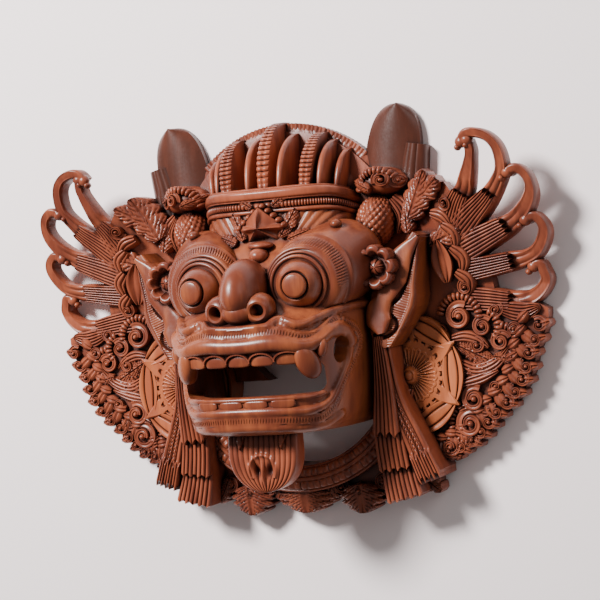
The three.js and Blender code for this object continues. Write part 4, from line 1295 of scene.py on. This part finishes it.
# %% [markdown]
# ## Wood
# The mask is one reddish hardwood with a satin finish, warm orange-brown with fine fibres that run up the face.
# Its cuts and hollows are made darker and redder with painted shade, driven by the ambient occlusion of the mesh.
# Colour, roughness and bump come from noise on object coordinates and from how deep a point lies between its
# neighbours.

# %% A small language for shader maths
class Wire:
    """A node's output that can be used in sums"""

    def __init__(self, recipe, socket):
        self.recipe, self.socket = recipe, socket

    def sum(self, operation, first, second):
        return self.recipe.node("ShaderNodeMath", {"operation": operation}, {0: first, 1: second})

    def __add__(self, other):
        return self.sum("ADD", self, other)

    def __sub__(self, other):
        return self.sum("SUBTRACT", self, other)

    def __rsub__(self, other):
        return self.sum("SUBTRACT", other, self)

    def __mul__(self, other):
        return self.sum("MULTIPLY", self, other)

    def __pow__(self, other):
        return self.sum("POWER", self, other)

    __radd__ = __add__
    __rmul__ = __mul__

    def between(self, low, high):
        """0 below low, 1 above high and a smooth step between"""
        return self.recipe.node("ShaderNodeMapRange", {"interpolation_type": "SMOOTHSTEP"}, {0: self, 1: low, 2: high})


class Recipe:
    """A material and its nodes"""

    def __init__(self, name):
        self.material = bpy.data.materials.new(name)
        self.material.use_nodes = True
        self.tree = self.material.node_tree
        self.tree.nodes.clear()

    def node(self, kind, settings=None, sockets=None, output=0):
        made = self.tree.nodes.new(kind)
        for key, value in (settings or {}).items():
            setattr(made, key, value)
        for key, value in (sockets or {}).items():
            if isinstance(value, Wire):
                self.tree.links.new(value.socket, made.inputs[key])
            else:
                made.inputs[key].default_value = value
        return Wire(self, made.outputs[output]) if made.outputs else None

    def mix(self, share, first, second, blend="MIX"):
        settings = {"data_type": "RGBA", "blend_type": blend}
        return self.node("ShaderNodeMix", settings, {0: share, 6: first, 7: second}, 2)

    def noise(self, place, scale, detail=4.0, roughness=0.55):
        sockets = {"Vector": place, "Scale": scale, "Detail": detail, "Roughness": roughness}
        return self.node("ShaderNodeTexNoise", {}, sockets)


# %% The wood
# deep is the colour of the painted shade laid into cuts and hollows. middle and light are the wood's own tones, mixed
# by noise.
def wood_material(name, deep, middle, light):
    wood = Recipe(name)
    here = wood.node("ShaderNodeTexCoord", {}, {}, "Object")
    stretched = wood.node("ShaderNodeMapping", {}, {"Vector": here, "Scale": (1.0, 0.12, 1.0)})
    fibre = wood.noise(stretched, 900, 5)
    streak = wood.noise(stretched, 110, 4)
    patch = wood.noise(here, 14, 3)
    speck = wood.noise(here, 500, 3, 0.6)
    # Ambient occlusion drives painted shade: enclosed places take the dark deep colour, and open places keep the wood's
    # tone.
    painted_shade_ao = wood.node("ShaderNodeAmbientOcclusion", {"samples": 8}, {"Distance": 0.006}, "AO")
    lit = painted_shade_ao.between(0.25, 0.92)
    tone = patch * 0.5 + streak * 0.5
    body = wood.mix(tone.between(0.4, 0.6), middle, light)
    body = wood.mix((fibre - 0.5) * 0.5 + 0.25, body, middle)
    colour = wood.mix(lit, deep, body)
    rough = 0.50 - 0.17 * lit + (speck - 0.5) * 0.16 + (streak - 0.5) * 0.12
    grain = {"Strength": 0.25, "Distance": 0.0004, "Height": fibre * 0.6 + speck * 0.4}
    bump = wood.node("ShaderNodeBump", {}, grain, "Normal")
    surface = wood.node("ShaderNodeBsdfPrincipled", {}, {"Base Color": colour, "Roughness": rough, "Normal": bump,
                                                         "Specular IOR Level": 0.3, "Coat Weight": 0.06,
                                                         "Coat Roughness": 0.22})
    wood.node("ShaderNodeOutputMaterial", {}, {"Surface": surface})
    return wood.material


# The first colour of each wood is the painted shade for its cuts and hollows.
carved_wood = wood_material("carved_wood", (0.02, 0.005, 0.004, 1), (0.13, 0.029, 0.015, 1), (0.31, 0.076, 0.034, 1))
smooth_wood = wood_material("smooth_wood", (0.022, 0.005, 0.004, 1), (0.13, 0.028, 0.013, 1), (0.29, 0.074, 0.026, 1))
rosette_wood = wood_material("rosette_wood", (0.03, 0.007, 0.004, 1), (0.28, 0.066, 0.026, 1), (0.47, 0.13, 0.045, 1))
blade_wood = wood_material("blade_wood", (0.02, 0.006, 0.004, 1), (0.05, 0.014, 0.008, 1), (0.09, 0.025, 0.014, 1))

# %% Dress every piece and tie it to the solid
SMOOTH = ("head", "eye_right", "eye_left", "nose", "teeth", "ear_right", "ear_left")
for piece in pieces:
    piece.data.materials.clear()
    piece.data.materials.append(
        smooth_wood if piece.name in SMOOTH else blade_wood if piece.name.startswith("horn")
        else rosette_wood if piece.name.startswith("rosette") else carved_wood)
    for face in piece.data.polygons:
        face.material_index = 0
    bpy.ops.object.select_all(action="DESELECT")
    piece.select_set(True)
    bpy.context.view_layer.objects.active = piece
    bpy.ops.object.shade_smooth_by_angle(angle=np.radians(42))
    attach(piece, "root")
    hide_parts("barong_mask")
triangles = {piece.name: sum(len(f.vertices) - 2 for f in piece.data.polygons) for piece in pieces}
print("Triangles:", triangles, "in all", sum(triangles.values()))

# %% [markdown]
# ## Floor, light and camera
# The mask lies on its back on a plain pale floor, and the camera looks down on it, turned and leaned as in the
# photograph. One soft light from the upper left throws the shadows to the lower right, and a weak one fills them.

# %% Floor
bpy.ops.object.select_all(action="DESELECT")
bpy.ops.mesh.primitive_plane_add(size=4)
floor = bpy.context.object
floor.name = "floor"
plain = Recipe("plain_floor")
plain.node("ShaderNodeOutputMaterial", {}, {"Surface": plain.node("ShaderNodeBsdfPrincipled", {}, {
    "Base Color": (0.95, 0.83, 0.82, 1), "Roughness": 0.85})})
floor.data.materials.append(plain.material)

# %% Camera
TURN, LEAN, ROLL, DISTANCE = np.radians(23.6), np.radians(1.5), np.radians(4.7), 1.3
target = to_scene([17, -7.3, 40])
out = np.array([np.sin(TURN) * np.cos(LEAN), np.sin(LEAN), np.cos(TURN) * np.cos(LEAN)])
right = np.array([np.cos(TURN), 0, -np.sin(TURN)])
up = np.cross(out, right)
c, s = np.cos(ROLL), np.sin(ROLL)
lens = bpy.data.cameras.new("photo_camera")
lens.sensor_width = 36
lens.lens = 110.2
camera = bpy.data.objects.new("photo_camera", lens)
bpy.context.scene.collection.objects.link(camera)
axes = np.eye(4)
axes[:3, 0] = right * c - up * s
axes[:3, 1] = right * s + up * c
axes[:3, 2] = out
axes[:3, 3] = target + out * DISTANCE
camera.matrix_world = Matrix(axes.tolist())
bpy.context.scene.camera = camera


# %% Light
def soft_light(name, place, size, power):
    lamp = bpy.data.lights.new(name, "AREA")
    lamp.shape = "DISK"
    lamp.size = size
    lamp.energy = power
    light = bpy.data.objects.new(name, lamp)
    bpy.context.scene.collection.objects.link(light)
    light.location = place
    light.rotation_euler = (Vector(place) - Vector(target)).to_track_quat("Z", "Y").to_euler()


soft_light("key", (-0.7, 0.9, 1.3), 0.42, 84)
soft_light("fill", (1.1, 0.7, 0.7), 0.8, 3)
world = bpy.data.worlds.new("studio")
world.use_nodes = True
world.node_tree.nodes["Background"].inputs[0].default_value = (1, 1, 1, 1)
world.node_tree.nodes["Background"].inputs[1].default_value = 0.26
bpy.context.scene.world = world
